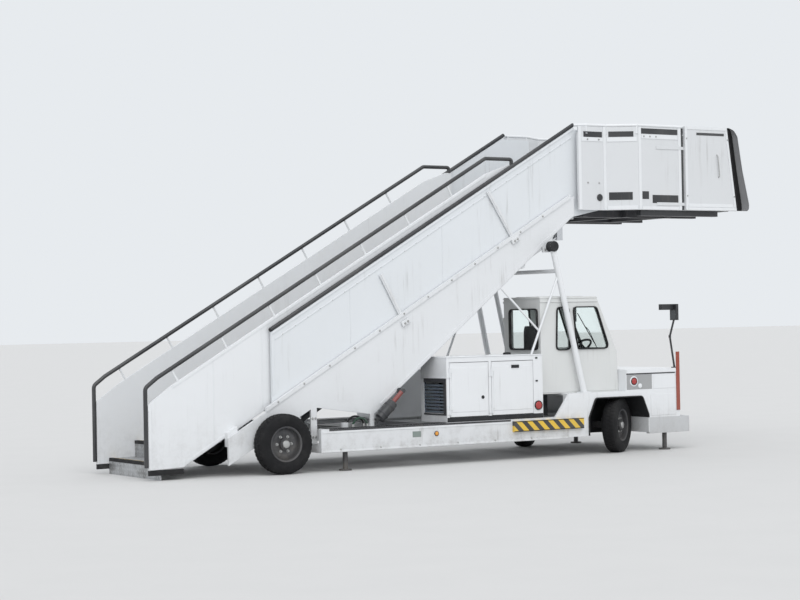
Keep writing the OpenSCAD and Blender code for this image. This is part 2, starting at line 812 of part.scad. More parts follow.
module hoses() {
    color("black")
        for (k = [0, 1])
            translate([2600 + k * 40, -frame_out_y - flange_t - 50 - k * 50, rail_z1 + 6])
                rotate([90, 0, 0])
                    rotate_extrude(angle = 180)
                        translate([120 - k * 20, 0])
                            circle(d = 24);
}

// Upper flight and platform

module upper_side_panels() {
    k = rail_d / 2 / cos(slope);
    color("white") {
        both_sides(upper_in_y, upper_out_y)
            polygon([
                [upper_low_x, on(soffit_z, upper_low_x) + 60],
                [platform_x - 20, on(soffit_z, platform_x - 20) + 60],
                [wide_x - 1, wall_bottom_z + 10], [wide_x - 1, rail_top_z - 60],
                [platform_x + 20, rail_top_z - 60],
                [platform_x, on(upper_rail_z, platform_x) - k],
                [upper_low_x, on(upper_rail_z, upper_low_x) - k]]);
    }
}

module upper_steps() {
    color("silver")
        side_plate(-upper_in_y, upper_in_y)
            flight_profile(platform_x - upper_treads * going, floor_z - upper_treads * rise, upper_treads);
}

module upper_handrails() {
    color("black")
        for (s = [-1, 1]) {
            y = s * (upper_in_y + panel_t / 2);
            bar([upper_low_x, y, on(upper_rail_z, upper_low_x)],
                [platform_x, y, on(upper_rail_z, platform_x)], rail_d);
        }
}

wide_x = 6420;

module platform_plan(g) {
    polygon([[platform_x, -upper_in_y], [wide_x, -upper_in_y], [wide_x, -wall_in_y + g],
        [straight_x, -wall_in_y + g], [flare_x, -platform_y + panel_t + g],
        [platform_front_x, -platform_y + panel_t + g], [platform_front_x, platform_y - panel_t - g],
        [flare_x, platform_y - panel_t - g], [straight_x, wall_in_y - g], [wide_x, wall_in_y - g],
        [wide_x, upper_in_y], [platform_x, upper_in_y]]);
}

module platform_floor() {
    color("silver")
        translate([0, 0, floor_z - floor_t])
            linear_extrude(floor_t)
                platform_plan(0);
}

module platform_beams() {
    color("dimgray") {
        for (x = [platform_x + 200, platform_x + 900, platform_x + 1600])
            box_at(x, x + 90, -700, 700, floor_z - floor_t - 120, floor_z - floor_t);
        both_boxes(platform_x + 200, platform_front_x - 120, 520, 600, floor_z - floor_t - 120, floor_z - floor_t);
    }
}

// The wall's line in plan on the right side
function wall_line() = [[platform_x, -wall_in_y], [straight_x, -wall_in_y],
    [flare_x, -platform_y + panel_t], [platform_front_x, -platform_y + panel_t]];

module wall_plan() {
    a = wall_line();
    o = [[0, -panel_t], [0, -panel_t], [0, -panel_t], [0, -panel_t]];
    polygon([for (i = [0 : 3]) a[i], for (i = [3 : -1 : 0]) a[i] + o[i]]);
}

module platform_walls() {
    color("white") {
        for (s = [0, 1])
            mirror([0, s, 0])
                translate([0, 0, wall_bottom_z])
                    linear_extrude(rail_top_z - 110 - wall_bottom_z)
                        wall_plan();
        for (z = [wall_bottom_z + 60, rail_top_z - 300])
            both_sides(platform_y, platform_y + guard_gap - 0.3)
                translate([flare_x + 300, z])
                    square([platform_front_x - flare_x - 300, 40]);
    }
}

module platform_rails() {
    y = wall_in_y + panel_t / 2;
    u = upper_in_y + panel_t / 2;
    w = platform_y - panel_t / 2;
    color("white")
        for (s = [-1, 1]) {
            bent_bar([[platform_x + 30, s * (u + 24), rail_top_z], [platform_x + 120, s * y, rail_top_z],
                [straight_x, s * y, rail_top_z], [flare_x, s * w, rail_top_z],
                [platform_front_x - 20, s * w, rail_top_z]], 34);
            for (p = [[platform_x + 140, y], [straight_x, y], [flare_x, w], [guard_x, w],
                [platform_front_x - 20, w]])
                translate([p[0], s * p[1], rail_top_z - 110])
                    cylinder(h = 110, d = 30);
        }
}

module platform_edge() {
    color("black")
        box_at(platform_front_x, platform_front_x + 130, -platform_y + 60, platform_y - 60,
            floor_z - 110, floor_z + 20);
}

module guard_profile() {
    polygon([[guard_x, wall_bottom_z], [guard_front_x, wall_bottom_z],
        [guard_front_x - guard_lean, rail_top_z + 10], [guard_x, rail_top_z + 10]]);
}

module guard(s) {
    color("white")
        side_plate(s > 0 ? guard_in_y : -guard_in_y - guard_t, s > 0 ? guard_in_y + guard_t : -guard_in_y)
            guard_profile();
}

module guard_right() { guard(-1); }
module guard_left() { guard(1); }

module guard_seal(s) {
    y0 = guard_in_y + 2;
    color("black")
        side_plate(s > 0 ? y0 : -y0 - seal_t, s > 0 ? y0 + seal_t : -y0)
            polygon([[guard_front_x, wall_bottom_z], [guard_front_x + seal_l - 20, wall_bottom_z + 30],
                [guard_front_x + seal_l, wall_bottom_z + 90],
                [guard_front_x + seal_l - guard_lean - 40, rail_top_z - 100],
                [guard_front_x - guard_lean + 110, rail_top_z - 20], [guard_front_x - guard_lean, rail_top_z + 10]]);
}

module guard_seal_right() { guard_seal(-1); }
module guard_seal_left() { guard_seal(1); }

// Doors

module cab_door() {
    color("gainsboro") {
        difference() {
            side_plate(-cab_y_in - cab_t, -cab_y_in)
                door_outline(0);
            side_plate(-cab_y_in - cab_t - 1, -cab_y_in + 1)
                door_window_outline(0);
        }
        hinge_half(cab_x0 + cab_t - 3, -cab_y_in, 1, [for (z = [950, 1750]) [z, z + 59]], 1);
    }
}

module cab_door_window() {
    color("lightblue")
        side_plate(-cab_y_in - 22, -cab_y_in - 14)
            door_window_outline(0.5);
}

module engine_doors(x) {
    y0 = -body_w / 2;
    color("white") {
        box_at(x[0], x[1], y0, y0 + sheet_t, rail_z1 + 66, box_z1 - 66);
        hinge_half(x[0] - 3, y0, 1, [for (h = [650, 1100]) [h, h + 59]]);
    }
}

module engine_door() { engine_doors([box_x0 + 46, box_x0 + 614]); }
module service_door() { engine_doors([box_x0 + 666, box_x1 - 150]); }

// Wheels

module steered(s) {
    translate([front_axle_x, s * kingpin_y, 0])
        rotate([0, 0, parked_steer])
            translate([-front_axle_x, -s * kingpin_y, 0])
                children();
}

module knuckle(s) {
    color("dimgray")
        steered(s)
            translate([front_axle_x, s * kingpin_y, axle_z]) {
                translate([0, 0, -59])
                    cylinder(h = 118, d = 70);
                rotate([s * -90, 0, 0])
                    cylinder(h = kingpin_offset + 45, d = spindle_d);
            }
}

module knuckle_right() { knuckle(-1); }
module knuckle_left() { knuckle(1); }

module tyre(x, s) {
    color("black")
        translate([x, s * track / 2, axle_z])
            rotate([90, 0, 0])
                rotate_extrude($fn = 64)
                    polygon([[rim_d / 2, -tyre_w / 2 + 20], [rim_d / 2 + 30, -tyre_w / 2],
                        [tyre_d / 2 - 40, -tyre_w / 2], [tyre_d / 2, -tyre_w / 2 + 35],
                        [tyre_d / 2, tyre_w / 2 - 35], [tyre_d / 2 - 40, tyre_w / 2],
                        [rim_d / 2 + 30, tyre_w / 2], [rim_d / 2, tyre_w / 2 - 20]]);
}

module rim(x, s, bore) {
    color("white")
        translate([x, s * track / 2, axle_z])
            rotate([s * -90, 0, 0])
                difference() {
                    union() {
                        rotate_extrude($fn = 64)
                            polygon([[rim_d / 2 - 14, -tyre_w / 2 + 20], [rim_d / 2, -tyre_w / 2 + 20],
                                [rim_d / 2, tyre_w / 2 - 20], [rim_d / 2 - 14, tyre_w / 2 - 20]]);
                        translate([0, 0, 10])
                            cylinder(h = 14, d = rim_d - 20);
                        translate([0, 0, -50])
                            cylinder(h = 110, d = 130);
                    }
                    translate([0, 0, -80])
                        cylinder(h = 80 + 50, d = bore);
                }
}

module tyre_front_right() { steered(-1) tyre(front_axle_x, -1); }
module tyre_front_left() { steered(1) tyre(front_axle_x, 1); }
module tyre_rear_right() { tyre(rear_axle_x, -1); }
module tyre_rear_left() { tyre(rear_axle_x, 1); }
module rim_front_right() { steered(-1) rim(front_axle_x, -1, spindle_d + 2 * fit_gap); }
module rim_front_left() { steered(1) rim(front_axle_x, 1, spindle_d + 2 * fit_gap); }
module rim_rear_right() { rim(rear_axle_x, -1, axle_d + 2 * fit_gap); }
module rim_rear_left() { rim(rear_axle_x, 1, axle_d + 2 * fit_gap); }

// Puts the middle of the length at the origin
module placed() {
    translate([-origin_x, 0, 0])
        children();
}

placed() chassis_frame();
placed() stair_frame();
placed() front_posts();
placed() deck_plates();
placed() lower_side_panels();
placed() lower_steps();
placed() lower_handrails();
placed() foot_edges();
placed() engine_box();
placed() engine_block();
placed() radiator_grille();
placed() tank_box();
placed() cab_shell();
placed() cab_windows();
placed() cab_seat();
placed() dash();
placed() steering_wheel();
placed() front_body();
placed() front_bumper();
placed() mirrors();
placed() lamps();
placed() hazard_step();
placed() front_axle();
placed() rear_axle();
placed() jack_tubes();
placed() extension_barrels();
placed() hoses();
placed() upper_side_panels();
placed() upper_steps();
placed() upper_handrails();
placed() extension_rods();
placed() platform_floor();
placed() platform_beams();
placed() platform_walls();
placed() platform_rails();
placed() platform_edge();
placed() guard_right();
placed() guard_left();
placed() guard_seal_right();
placed() guard_seal_left();
placed() cab_door();
placed() cab_door_window();
placed() engine_door();
placed() service_door();
placed() jack_rear_right();
placed() jack_rear_left();
placed() jack_front_right();
placed() jack_front_left();
placed() knuckle_right();
placed() knuckle_left();
placed() tyre_front_right();
placed() tyre_front_left();
placed() tyre_rear_right();
placed() tyre_rear_left();
placed() rim_front_right();
placed() rim_front_left();
placed() rim_rear_right();
placed() rim_rear_left();
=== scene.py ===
"""Looks of a self-propelled aircraft passenger stairs, laid out as a Blender add-on.

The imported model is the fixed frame. Every length is in metres. Places along the vehicle are
first written as a distance from the stairs' foot and then moved by FOOT_X to the model's own
origin; y is positive to the vehicle's left and z is the height above the ground.
"""

import math

import bmesh
import bpy
import numpy as np
from mathutils import Matrix, Vector


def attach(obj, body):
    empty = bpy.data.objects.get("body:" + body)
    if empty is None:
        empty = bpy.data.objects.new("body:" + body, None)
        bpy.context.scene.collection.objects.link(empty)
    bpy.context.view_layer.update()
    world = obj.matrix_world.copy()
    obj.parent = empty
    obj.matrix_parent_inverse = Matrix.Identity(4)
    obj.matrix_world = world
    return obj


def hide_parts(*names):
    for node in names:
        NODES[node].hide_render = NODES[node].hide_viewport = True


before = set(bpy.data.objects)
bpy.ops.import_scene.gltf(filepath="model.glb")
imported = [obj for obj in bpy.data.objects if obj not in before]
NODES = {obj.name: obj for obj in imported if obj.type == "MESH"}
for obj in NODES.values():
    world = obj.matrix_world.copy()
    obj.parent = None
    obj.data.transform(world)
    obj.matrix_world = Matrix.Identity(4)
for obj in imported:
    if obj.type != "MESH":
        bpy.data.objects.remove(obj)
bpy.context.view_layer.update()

bl_info = {
    "name": "Aircraft passenger stairs",
    "version": (1, 0, 0),
    "blender": (4, 5, 0),
    "location": "3D View > Sidebar > Stairs",
    "description": "Detailed pieces and materials around the packed passenger stairs",
    "category": "Add Mesh",
}

FOOT_X = 4.306
STEP_RUN = 0.334
STEP_RISE = 0.19
RATE = STEP_RISE / STEP_RUN
SLOPE = math.atan(RATE)
UP_SLOPE = np.array([math.cos(SLOPE), 0, math.sin(SLOPE)])
LOWER_RAIL_Z = 1.0847
UPPER_RAIL_Z = 0.7868
CHORD_Z = -0.1032
FLOOR_Z = 3.215
RAIL_TOP_Z = FLOOR_Z + 0.985
WALL_BOTTOM_Z = FLOOR_Z - 0.105
FRAME_Y = 0.82
UPPER_Y = 0.78
LOWER_Y = 0.72
WALL_Y = 0.874
PLATFORM_Y = 1.09
GUARD_Y = 1.128
BODY_Y = 1.05
CAB_Y0 = -0.9
CAB_Y1 = -0.12
NOSE_X = 7.45
LINER_Y = 0.562
AXLE_Z = 0.35
STEER = math.radians(32.0)


# Sizes and colours


class StairsSizes(bpy.types.PropertyGroup):
    """Sizes that a user would change"""

    tyre_blocks: bpy.props.IntProperty(
        name="Tread blocks", description="Blocks round each row of a tyre's tread", default=44,
        min=20, max=80
    )
    bolt_width: bpy.props.FloatProperty(
        name="Bolt width", description="Width of a hexagon head", default=0.022, unit="LENGTH"
    )
    frame_width: bpy.props.FloatProperty(
        name="Window rubber", description="Width of the rubber round a window", default=0.042, unit="LENGTH"
    )
    rib_depth: bpy.props.FloatProperty(
        name="Strip depth", description="How far a pressed strip stands out", default=0.006, unit="LENGTH"
    )


class StairsColours(bpy.types.PropertyGroup):
    """Colours of the paints and rubbers"""

    white: bpy.props.FloatVectorProperty(
        name="White paint", description="Paint of the stairs and the body", subtype="COLOR", size=3,
        default=(0.80, 0.815, 0.83)
    )
    cab: bpy.props.FloatVectorProperty(
        name="Cab paint", description="Slightly greyer paint of the cab", subtype="COLOR", size=3,
        default=(0.70, 0.71, 0.70)
    )
    dirt: bpy.props.FloatVectorProperty(
        name="Dirt", description="Road dirt on the paint", subtype="COLOR", size=3,
        default=(0.20, 0.18, 0.155)
    )
    yellow: bpy.props.FloatVectorProperty(
        name="Warning yellow", description="Yellow of the warning stripes", subtype="COLOR", size=3,
        default=(0.80, 0.52, 0.03)
    )


# Mesh helpers


def at(points):
    """Places written from the stairs' foot, moved to the model's origin: x' = x - FOOT_X."""
    pts = np.array(points, float)
    pts[..., 0] -= FOOT_X
    return pts


def spot(x, y, z):
    """One place written from the stairs' foot, moved to the model's origin."""
    return at([[x, y, z]])[0]


def make_piece(name, part, finish, body, smooth):
    """A mesh object at the origin from a part, smooth up to an angle in degrees, riding on a body.

    A part is a pair: its vertices and its faces.
    """
    verts, faces = part
    mesh = bpy.data.meshes.new(name)
    mesh.from_pydata([tuple(map(float, v)) for v in verts], [], [tuple(map(int, f)) for f in faces])
    mesh.validate()
    mesh.polygons.foreach_set("use_smooth", [True] * len(mesh.polygons))
    mesh.set_sharp_from_angle(angle=math.radians(smooth))
    mesh.materials.append(MAT[finish])
    obj = bpy.data.objects.new(name, mesh)
    bpy.context.scene.collection.objects.link(obj)
    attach(obj, body)
    return obj


def join_parts(parts):
    """Several parts as one."""
    verts, faces, base = [], [], 0
    for v, f in parts:
        v = np.asarray(v, float)
        verts.append(v)
        faces += [tuple(int(i) + base for i in face) for face in f]
        base += len(v)
    return np.concatenate(verts), faces


def grid_faces(rows, cols, wrap_rows=False, wrap_cols=False):
    """Quads of a rows x cols grid of points, wrapping round where asked."""
    r = np.arange(rows if wrap_rows else rows - 1)
    c = np.arange(cols if wrap_cols else cols - 1)
    rr, cc = np.meshgrid(r, c, indexing="ij")
    r2, c2 = (rr + 1) % rows, (cc + 1) % cols
    quads = np.stack([rr * cols + cc, rr * cols + c2, r2 * cols + c2, r2 * cols + cc], axis=-1)
    return [tuple(q) for q in quads.reshape(-1, 4)]


def capped_faces(rows, cols):
    """Quads of a tube of points, rows along it and cols round it, and a face over each end."""
    faces = grid_faces(rows, cols, wrap_cols=True)
    faces.append(tuple(range(cols))[::-1])
    faces.append(tuple(range((rows - 1) * cols, rows * cols)))
    return faces


def rounded_path(points, radius, steps=8, closed=False):
    """A path through corner points whose corners are circular arcs.

    At each corner, with unit directions a in and b out, the arc starts t = r tan(turn / 2)
    before the corner and is the blend corner + t((1-s)^2 (-a) + s^2 b) for s from 0 to 1.
    """
    pts = [np.array(p, float) for p in points]
    n = len(pts)
    out = []
    for i in range(n):
        if not closed and i in (0, n - 1):
            out.append(pts[i][None])
            continue
        prev, cur, nxt = pts[i - 1], pts[i], pts[(i + 1) % n]
        a = cur - prev
        b = nxt - cur
        la, lb = np.linalg.norm(a), np.linalg.norm(b)
        a, b = a / la, b / lb
        turn = math.acos(max(-1.0, min(1.0, float(a @ b))))
        if turn < 1e-3:
            out.append(cur[None])
            continue
        t = min(radius * math.tan(turn / 2), 0.49 * la, 0.49 * lb)
        s = np.linspace(0, 1, steps + 1)[:, None]
        out.append(cur + t * (-(1 - s) ** 2 * a + s ** 2 * b))
    return np.concatenate(out)


def frames_along(path, closed=False):
    """Two unit normals at each point of a path, carried along it without twist."""
    d = np.gradient(path, axis=0) if not closed else np.roll(path, -1, 0) - np.roll(path, 1, 0)
    d /= np.linalg.norm(d, axis=1)[:, None]
    ref = np.array([0.0, 0.0, 1.0]) if abs(d[0][2]) < 0.9 else np.array([0.0, 1.0, 0.0])
    u = np.empty_like(path)
    cur = np.cross(d[0], ref)
    cur /= np.linalg.norm(cur)
    for i, t in enumerate(d):
        cur = cur - t * (cur @ t)
        cur /= np.linalg.norm(cur)
        u[i] = cur
    return u, np.cross(d, u)


def swept(path, profile, closed=False):
    """A closed profile (k x 2, counted round) carried along a path: P + p_u U + p_v V."""
    path = np.asarray(path, float)
    u, v = frames_along(path, closed)
    rings = path[:, None] + profile[None, :, 0, None] * u[:, None] + profile[None, :, 1, None] * v[:, None]
    rows, cols = rings.shape[:2]
    faces = grid_faces(rows, cols, True, True) if closed else capped_faces(rows, cols)
    verts = rings.reshape(-1, 3)
    return verts, outward(verts, [f[::-1] for f in faces])


def outward(verts, faces):
    """The faces, turned over if their fans' sum of p0 . (p1 x p2), six times the volume, is negative."""
    fans = np.array([(f[0], f[i], f[i + 1]) for f in faces for i in range(1, len(f) - 1)])
    pts = np.asarray(verts, float) - np.mean(verts, axis=0)
    a, b, c = (pts[fans[:, i]] for i in range(3))
    volume = float(np.sum(a * np.cross(b, c)))
    return [f[::-1] for f in faces] if volume < 0 else faces


def circle_profile(diameter, sides=20):
    """A circle as a closed profile: r (cos t, sin t)."""
    t = np.arange(sides) * 2 * math.pi / sides
    return np.stack([np.cos(t), np.sin(t)], 1) * diameter / 2


def round_rect(width, height, radius, steps=4):
    """A rectangle with round corners as a closed profile, centred, counted round."""
    out = []
    for cx, cy, start in ((1, 1, 0), (-1, 1, 90), (-1, -1, 180), (1, -1, 270)):
        t = np.radians(np.linspace(start, start + 90, steps + 1))
        middle = np.array([cx * (width / 2 - radius), cy * (height / 2 - radius)])
        out.append(middle + radius * np.stack([np.cos(t), np.sin(t)], 1))
    return np.concatenate(out)


def tube(points, diameter, bend=0.06, sides=20):
    """A round tube along rounded corners."""
    return swept(rounded_path(points, bend), circle_profile(diameter, sides))


def plate(outline, direction, depth, bevel=0.002):
    """A flat plate with bevelled edges: the outline (n x 3) grows from 0 to depth along direction.

    The rims are the outline at 0, at depth - bevel, and drawn in by bevel at depth.
    """
    out = np.asarray(outline, float)
    d = np.asarray(direction, float)
    d = d / np.linalg.norm(d)
    mid = out.mean(0)
    nxt = np.roll(out, -1, 0) - out
    prv = out - np.roll(out, 1, 0)
    nxt /= np.linalg.norm(nxt, axis=1)[:, None]
    prv /= np.linalg.norm(prv, axis=1)[:, None]
    n1, n2 = np.cross(d, nxt), np.cross(d, prv)
    inward = n1 + n2
    inward /= np.maximum(np.sum(inward * n1, axis=1), 0.3)[:, None]
    if np.mean(np.sum(inward * (mid - out), axis=1)) < 0:
        inward = -inward
    rings = [out, out + d * (depth - bevel), out + inward * bevel + d * depth]
    verts = np.concatenate(rings)
    return verts, outward(verts, capped_faces(3, len(out)))


def turned(profile, centre, axis, sides=32):
    """A solid of revolution: points (r, h) turned about the axis through centre.

    P(t, i) = C + h_i A + r_i (U cos t + V sin t), closed by a flat face at both ends.
    """
    a = np.asarray(axis, float)
    a = a / np.linalg.norm(a)
    ref = np.array([0.0, 0.0, 1.0]) if abs(a[2]) < 0.9 else np.array([1.0, 0.0, 0.0])
    u = np.cross(ref, a)
    u /= np.linalg.norm(u)
    v = np.cross(a, u)
    t = np.arange(sides) * 2 * math.pi / sides
    prof = np.asarray(profile, float)
    ring = np.cos(t)[None, :, None] * u + np.sin(t)[None, :, None] * v
    pts = np.asarray(centre, float) + prof[:, 1, None, None] * a + prof[:, 0, None, None] * ring
    verts = pts.reshape(-1, 3)
    return verts, outward(verts, capped_faces(len(prof), sides))


def hex_bolt(centre, axis, width=0.022, height=0.011):
    """A hexagon head with a chamfered top over a round washer."""
    head = [(width / 2, 0.002), (width / 2, 0.002 + height * 0.8), (width * 0.42, 0.002 + height)]
    washer = [(width * 0.72, 0), (width * 0.72, 0.0018), (width * 0.66, 0.0024)]
    return join_parts([turned(head, centre, axis, 6), turned(washer, centre, axis, 14)])


def box_part(low, high, bevel=0.004):
    """A box between two corners written from the foot, bevelled round its two faces furthest out.

    Its outline, seen along its thinnest way, has round corners and is drawn in by the bevel at both ends.
    """
    ends = at([low, high])
    lo, hi = ends.min(0), ends.max(0)
    mid, size = (lo + hi) / 2, hi - lo
    axis = int(np.argmin(size))
    others = [i for i in range(3) if i != axis]
    prof = round_rect(*size[others], min(bevel, size[others].min() * 0.45), 3)
    b = min(bevel, size[axis] * 0.3)
    rings = np.zeros((4, len(prof), 3))
    for ring, drawn, h in zip(rings, (b, 0, 0, b), (lo[axis], lo[axis] + b, hi[axis] - b, hi[axis])):
        ring[:, others] = mid[others] + prof * (1 - 2 * drawn / size[others])
        ring[:, axis] = h
    verts = rings.reshape(-1, 3)
    return verts, outward(verts, capped_faces(4, len(prof)))


def slab(x0, x1, y0, y1, z, depth, bevel):
    """A level plate that grows upwards from height z."""
    return plate(at([[x0, y0, z], [x1, y0, z], [x1, y1, z], [x0, y1, z]]), (0, 0, 1), depth, bevel)


def across(x, z, ys):
    """A section of distances x and heights z carried from side to side through the places ys."""
    rows, cols = len(ys), len(z)
    rings = np.zeros((rows, cols, 3))
    rings[..., 0] = np.asarray(x) - FOOT_X
    rings[..., 1] = np.asarray(ys)[:, None]
    rings[..., 2] = z
    verts = rings.reshape(-1, 3)
    return verts, outward(verts, capped_faces(rows, cols))


def turn_z(points, angle):
    """Points turned about the vertical line through the origin."""
    v = np.asarray(points, float)
    c, s = math.cos(angle), math.sin(angle)
    out = v.copy()
    out[..., 0] = c * v[..., 0] - s * v[..., 1]
    out[..., 1] = s * v[..., 0] + c * v[..., 1]
    return out


def side_outline(points, y):
    """An outline in the side view (x from the foot, z) at one y."""
    return at([[x, y, z] for x, z in points])


def rail_z(base, x):
    """Height of a line with the flights' slope at distance x."""
    return base + RATE * x


# Material helpers


class Graph:
    """Adds shader nodes to a tree with few words."""

    def __init__(self, tree):
        self.tree = tree

    def feed(self, socket, value):
        """Link a node's output to a socket, or set a plain value there."""
        if isinstance(value, bpy.types.NodeSocket):
            self.tree.links.new(value, socket)
        elif socket.type == "RGBA":
            socket.default_value = (*value[:3], 1.0)
        else:
            socket.default_value = value

    def add(self, kind, sockets=None, **props):
        node = self.tree.nodes.new("ShaderNode" + kind)
        for key, value in props.items():
            setattr(node, key, value)
        for key, value in (sockets or {}).items():
            self.feed(node.inputs[key], value)
        return node

    def maths(self, operation, a, b=0.0, clamp=False):
        return self.add("Math", {0: a, 1: b}, operation=operation, use_clamp=clamp).outputs[0]

    def plus(self, a, b, clamp=False):
        return self.maths("ADD", a, b, clamp)

    def times(self, a, b):
        return self.maths("MULTIPLY", a, b)

    def ramp(self, factor, low, high):
        """0 below low, 1 above high, smooth between."""
        sockets = {"Value": factor, "From Min": low, "From Max": high}
        return self.add("MapRange", sockets, interpolation_type="SMOOTHSTEP").outputs["Result"]

    def mix(self, factor, a, b):
        """The colour a where the factor is 0 and b where it is 1."""
        return self.add("Mix", {0: factor, 6: a, 7: b}, data_type="RGBA").outputs[2]

    def noise(self, vector, scale, detail=4.0, rough=0.55):
        sockets = {"Vector": vector, "Scale": scale, "Detail": detail, "Roughness": rough}
        return self.add("TexNoise", sockets).outputs["Fac"]

    def place(self):
        """The point's place in the object's own coordinates."""
        return self.add("TexCoord").outputs["Object"]


def effect_group(name, inputs, outputs):
    """An empty node group with named sockets, and its graph, input and output nodes."""
    tree = bpy.data.node_groups.new(name, "ShaderNodeTree")
    kinds = {"f": "NodeSocketFloat", "c": "NodeSocketColor"}
    for label, kind, default in inputs:
        sock = tree.interface.new_socket(name=label, in_out="INPUT", socket_type=kinds[kind])
        sock.default_value = default
    for label, kind in outputs:
        tree.interface.new_socket(name=label, in_out="OUTPUT", socket_type=kinds[kind])
    g = Graph(tree)
    return tree, g, tree.nodes.new("NodeGroupInput"), tree.nodes.new("NodeGroupOutput")


GROUPS = {}


def weathering_group():
    """Paint with cloudy fading, dirt that runs down, splashes low on the body and fine orange peel."""
    tree, g, gin, gout = effect_group(
        "weathering",
        [("Paint", "c", (0.8, 0.8, 0.8, 1)), ("Dirt", "c", (0.2, 0.18, 0.15, 1)), ("Streaks", "f", 0.35),
         ("Splash", "f", 0.5), ("Splash Height", "f", 0.9), ("Gloss", "f", 0.32)],
        [("Color", "c"), ("Roughness", "f"), ("Height", "f")],
    )
    pos = g.place()
    xyz = g.add("SeparateXYZ", {0: pos})
    long_down = g.add("Mapping", {"Vector": pos, "Scale": (9.0, 9.0, 0.55)}).outputs[0]
    run = g.ramp(g.noise(long_down, 2.2, 5.0, 0.6), 0.52, 0.78)
    patch = g.ramp(g.noise(pos, 1.7, 3.0), 0.40, 0.72)
    streak = g.times(g.times(run, patch), gin.outputs["Streaks"])
    height = g.maths("DIVIDE", xyz.outputs["Z"], gin.outputs["Splash Height"])
    low = g.maths("SUBTRACT", 1.0, height, clamp=True)
    speck = g.ramp(g.noise(pos, 7.0, 8.0, 0.7), 0.42, 0.70)
    splash = g.times(g.maths("POWER", low, 1.4), gin.outputs["Splash"])
    splash = g.times(splash, g.plus(g.times(speck, 0.75), 0.25))
    amount = g.plus(streak, splash, clamp=True)
    cloud = g.noise(pos, 0.9, 3.0)
    faded = g.mix(g.times(g.ramp(cloud, 0.35, 0.7), 0.07), gin.outputs["Paint"], (0.55, 0.55, 0.52))
    colour = g.mix(amount, faded, gin.outputs["Dirt"])
    tree.links.new(colour, gout.inputs["Color"])
    rough = g.plus(g.times(amount, 0.45), g.times(g.noise(pos, 26.0, 4.0), 0.10))
    tree.links.new(g.plus(gin.outputs["Gloss"], rough), gout.inputs["Roughness"])
    peel = g.plus(g.times(g.noise(pos, 210.0, 2.0), 0.12), g.times(g.noise(pos, 4.0, 2.0), 0.9))
    tree.links.new(peel, gout.inputs["Height"])
    return tree


def tread_group():
    """Raised lozenges on a step plate: cells of the x + z and y grid, turned left and right in turn."""
    tree, g, gin, gout = effect_group(
        "step_plate", [("Cell", "f", 0.045)], [("Height", "f"), ("Mask", "f")]
    )
    pos = g.add("SeparateXYZ", {0: g.place()})
    u = g.maths("DIVIDE", g.plus(pos.outputs["X"], pos.outputs["Z"]), gin.outputs["Cell"])
    v = g.maths("DIVIDE", pos.outputs["Y"], gin.outputs["Cell"])
    odd = g.maths("MODULO", g.maths("ABSOLUTE", g.plus(g.maths("FLOOR", u), g.maths("FLOOR", v))), 2.0)
    sign = g.maths("SUBTRACT", g.times(odd, 2.0), 1.0)
    pu = g.maths("SUBTRACT", g.maths("FRACT", u), 0.5)
    pv = g.times(g.maths("SUBTRACT", g.maths("FRACT", v), 0.5), sign)
    a = g.times(g.plus(pu, pv), 1.55)
    b = g.times(g.maths("SUBTRACT", pu, pv), 5.2)
    r = g.plus(g.times(a, a), g.times(b, b))
    bump = g.maths("SUBTRACT", 1.0, g.ramp(r, 0.35, 1.0))
    tree.links.new(bump, gout.inputs["Height"])
    tree.links.new(bump, gout.inputs["Mask"])
    return tree


def grain_group():
    """Fine moulded grain with worn lighter patches, for rubber and plastic."""
    tree, g, gin, gout = effect_group(
        "moulded_grain",
        [("Base", "c", (0.04, 0.04, 0.04, 1)), ("Worn", "c", (0.16, 0.155, 0.15, 1)), ("Wear", "f", 0.4),
         ("Grain", "f", 260.0)],
        [("Color", "c"), ("Roughness", "f"), ("Height", "f")],
    )
    pos = g.place()
    worn = g.times(g.ramp(g.noise(pos, 5.0, 6.0, 0.65), 0.45, 0.75), gin.outputs["Wear"])
    tree.links.new(g.mix(worn, gin.outputs["Base"], gin.outputs["Worn"]), gout.inputs["Color"])
    tree.links.new(g.plus(0.55, g.times(g.noise(pos, 14.0, 3.0), 0.35)), gout.inputs["Roughness"])
    grain = g.add("TexVoronoi", {"Vector": pos, "Scale": gin.outputs["Grain"]}).outputs["Distance"]
    tree.links.new(grain, gout.inputs["Height"])
    return tree


def stripe_group():
    """Slanting warning stripes: 1 where the fraction of (x + z) / width is over a half."""
    tree, g, gin, gout = effect_group("warning_stripes", [("Width", "f", 0.16)], [("Mask", "f")])
    pos = g.add("SeparateXYZ", {0: g.place()})
    s = g.maths("FRACT", g.maths("DIVIDE", g.plus(pos.outputs["X"], pos.outputs["Z"]), gin.outputs["Width"]))
    tree.links.new(g.ramp(s, 0.495, 0.505), gout.inputs["Mask"])
    return tree


def new_material(name):
    """A material with an empty Principled surface, its graph and the shader."""
    mat = bpy.data.materials.new(name)
    mat.use_nodes = True
    tree = mat.node_tree
    tree.nodes.clear()
    g = Graph(tree)
    shader = g.add("BsdfPrincipled")
    out = g.add("OutputMaterial")
    tree.links.new(shader.outputs[0], out.inputs[0])
    return mat, g, shader


def wire(g, shader, colour, rough, normal=None):
    """Link a colour, a roughness and, if there is one, a bumped normal to the shader."""
    g.tree.links.new(colour, shader.inputs["Base Color"])
    g.tree.links.new(rough, shader.inputs["Roughness"])
    if normal is not None:
        g.tree.links.new(normal, shader.inputs["Normal"])


def weathered(g, paint, streaks, splash, splash_height, gloss):
    """The weathering node over a paint."""
    sockets = {"Paint": paint, "Dirt": bpy.context.scene.stairs_colours.dirt, "Streaks": streaks,
               "Splash": splash, "Splash Height": splash_height, "Gloss": gloss}
    return g.add("Group", sockets, node_tree=GROUPS["weathering"])


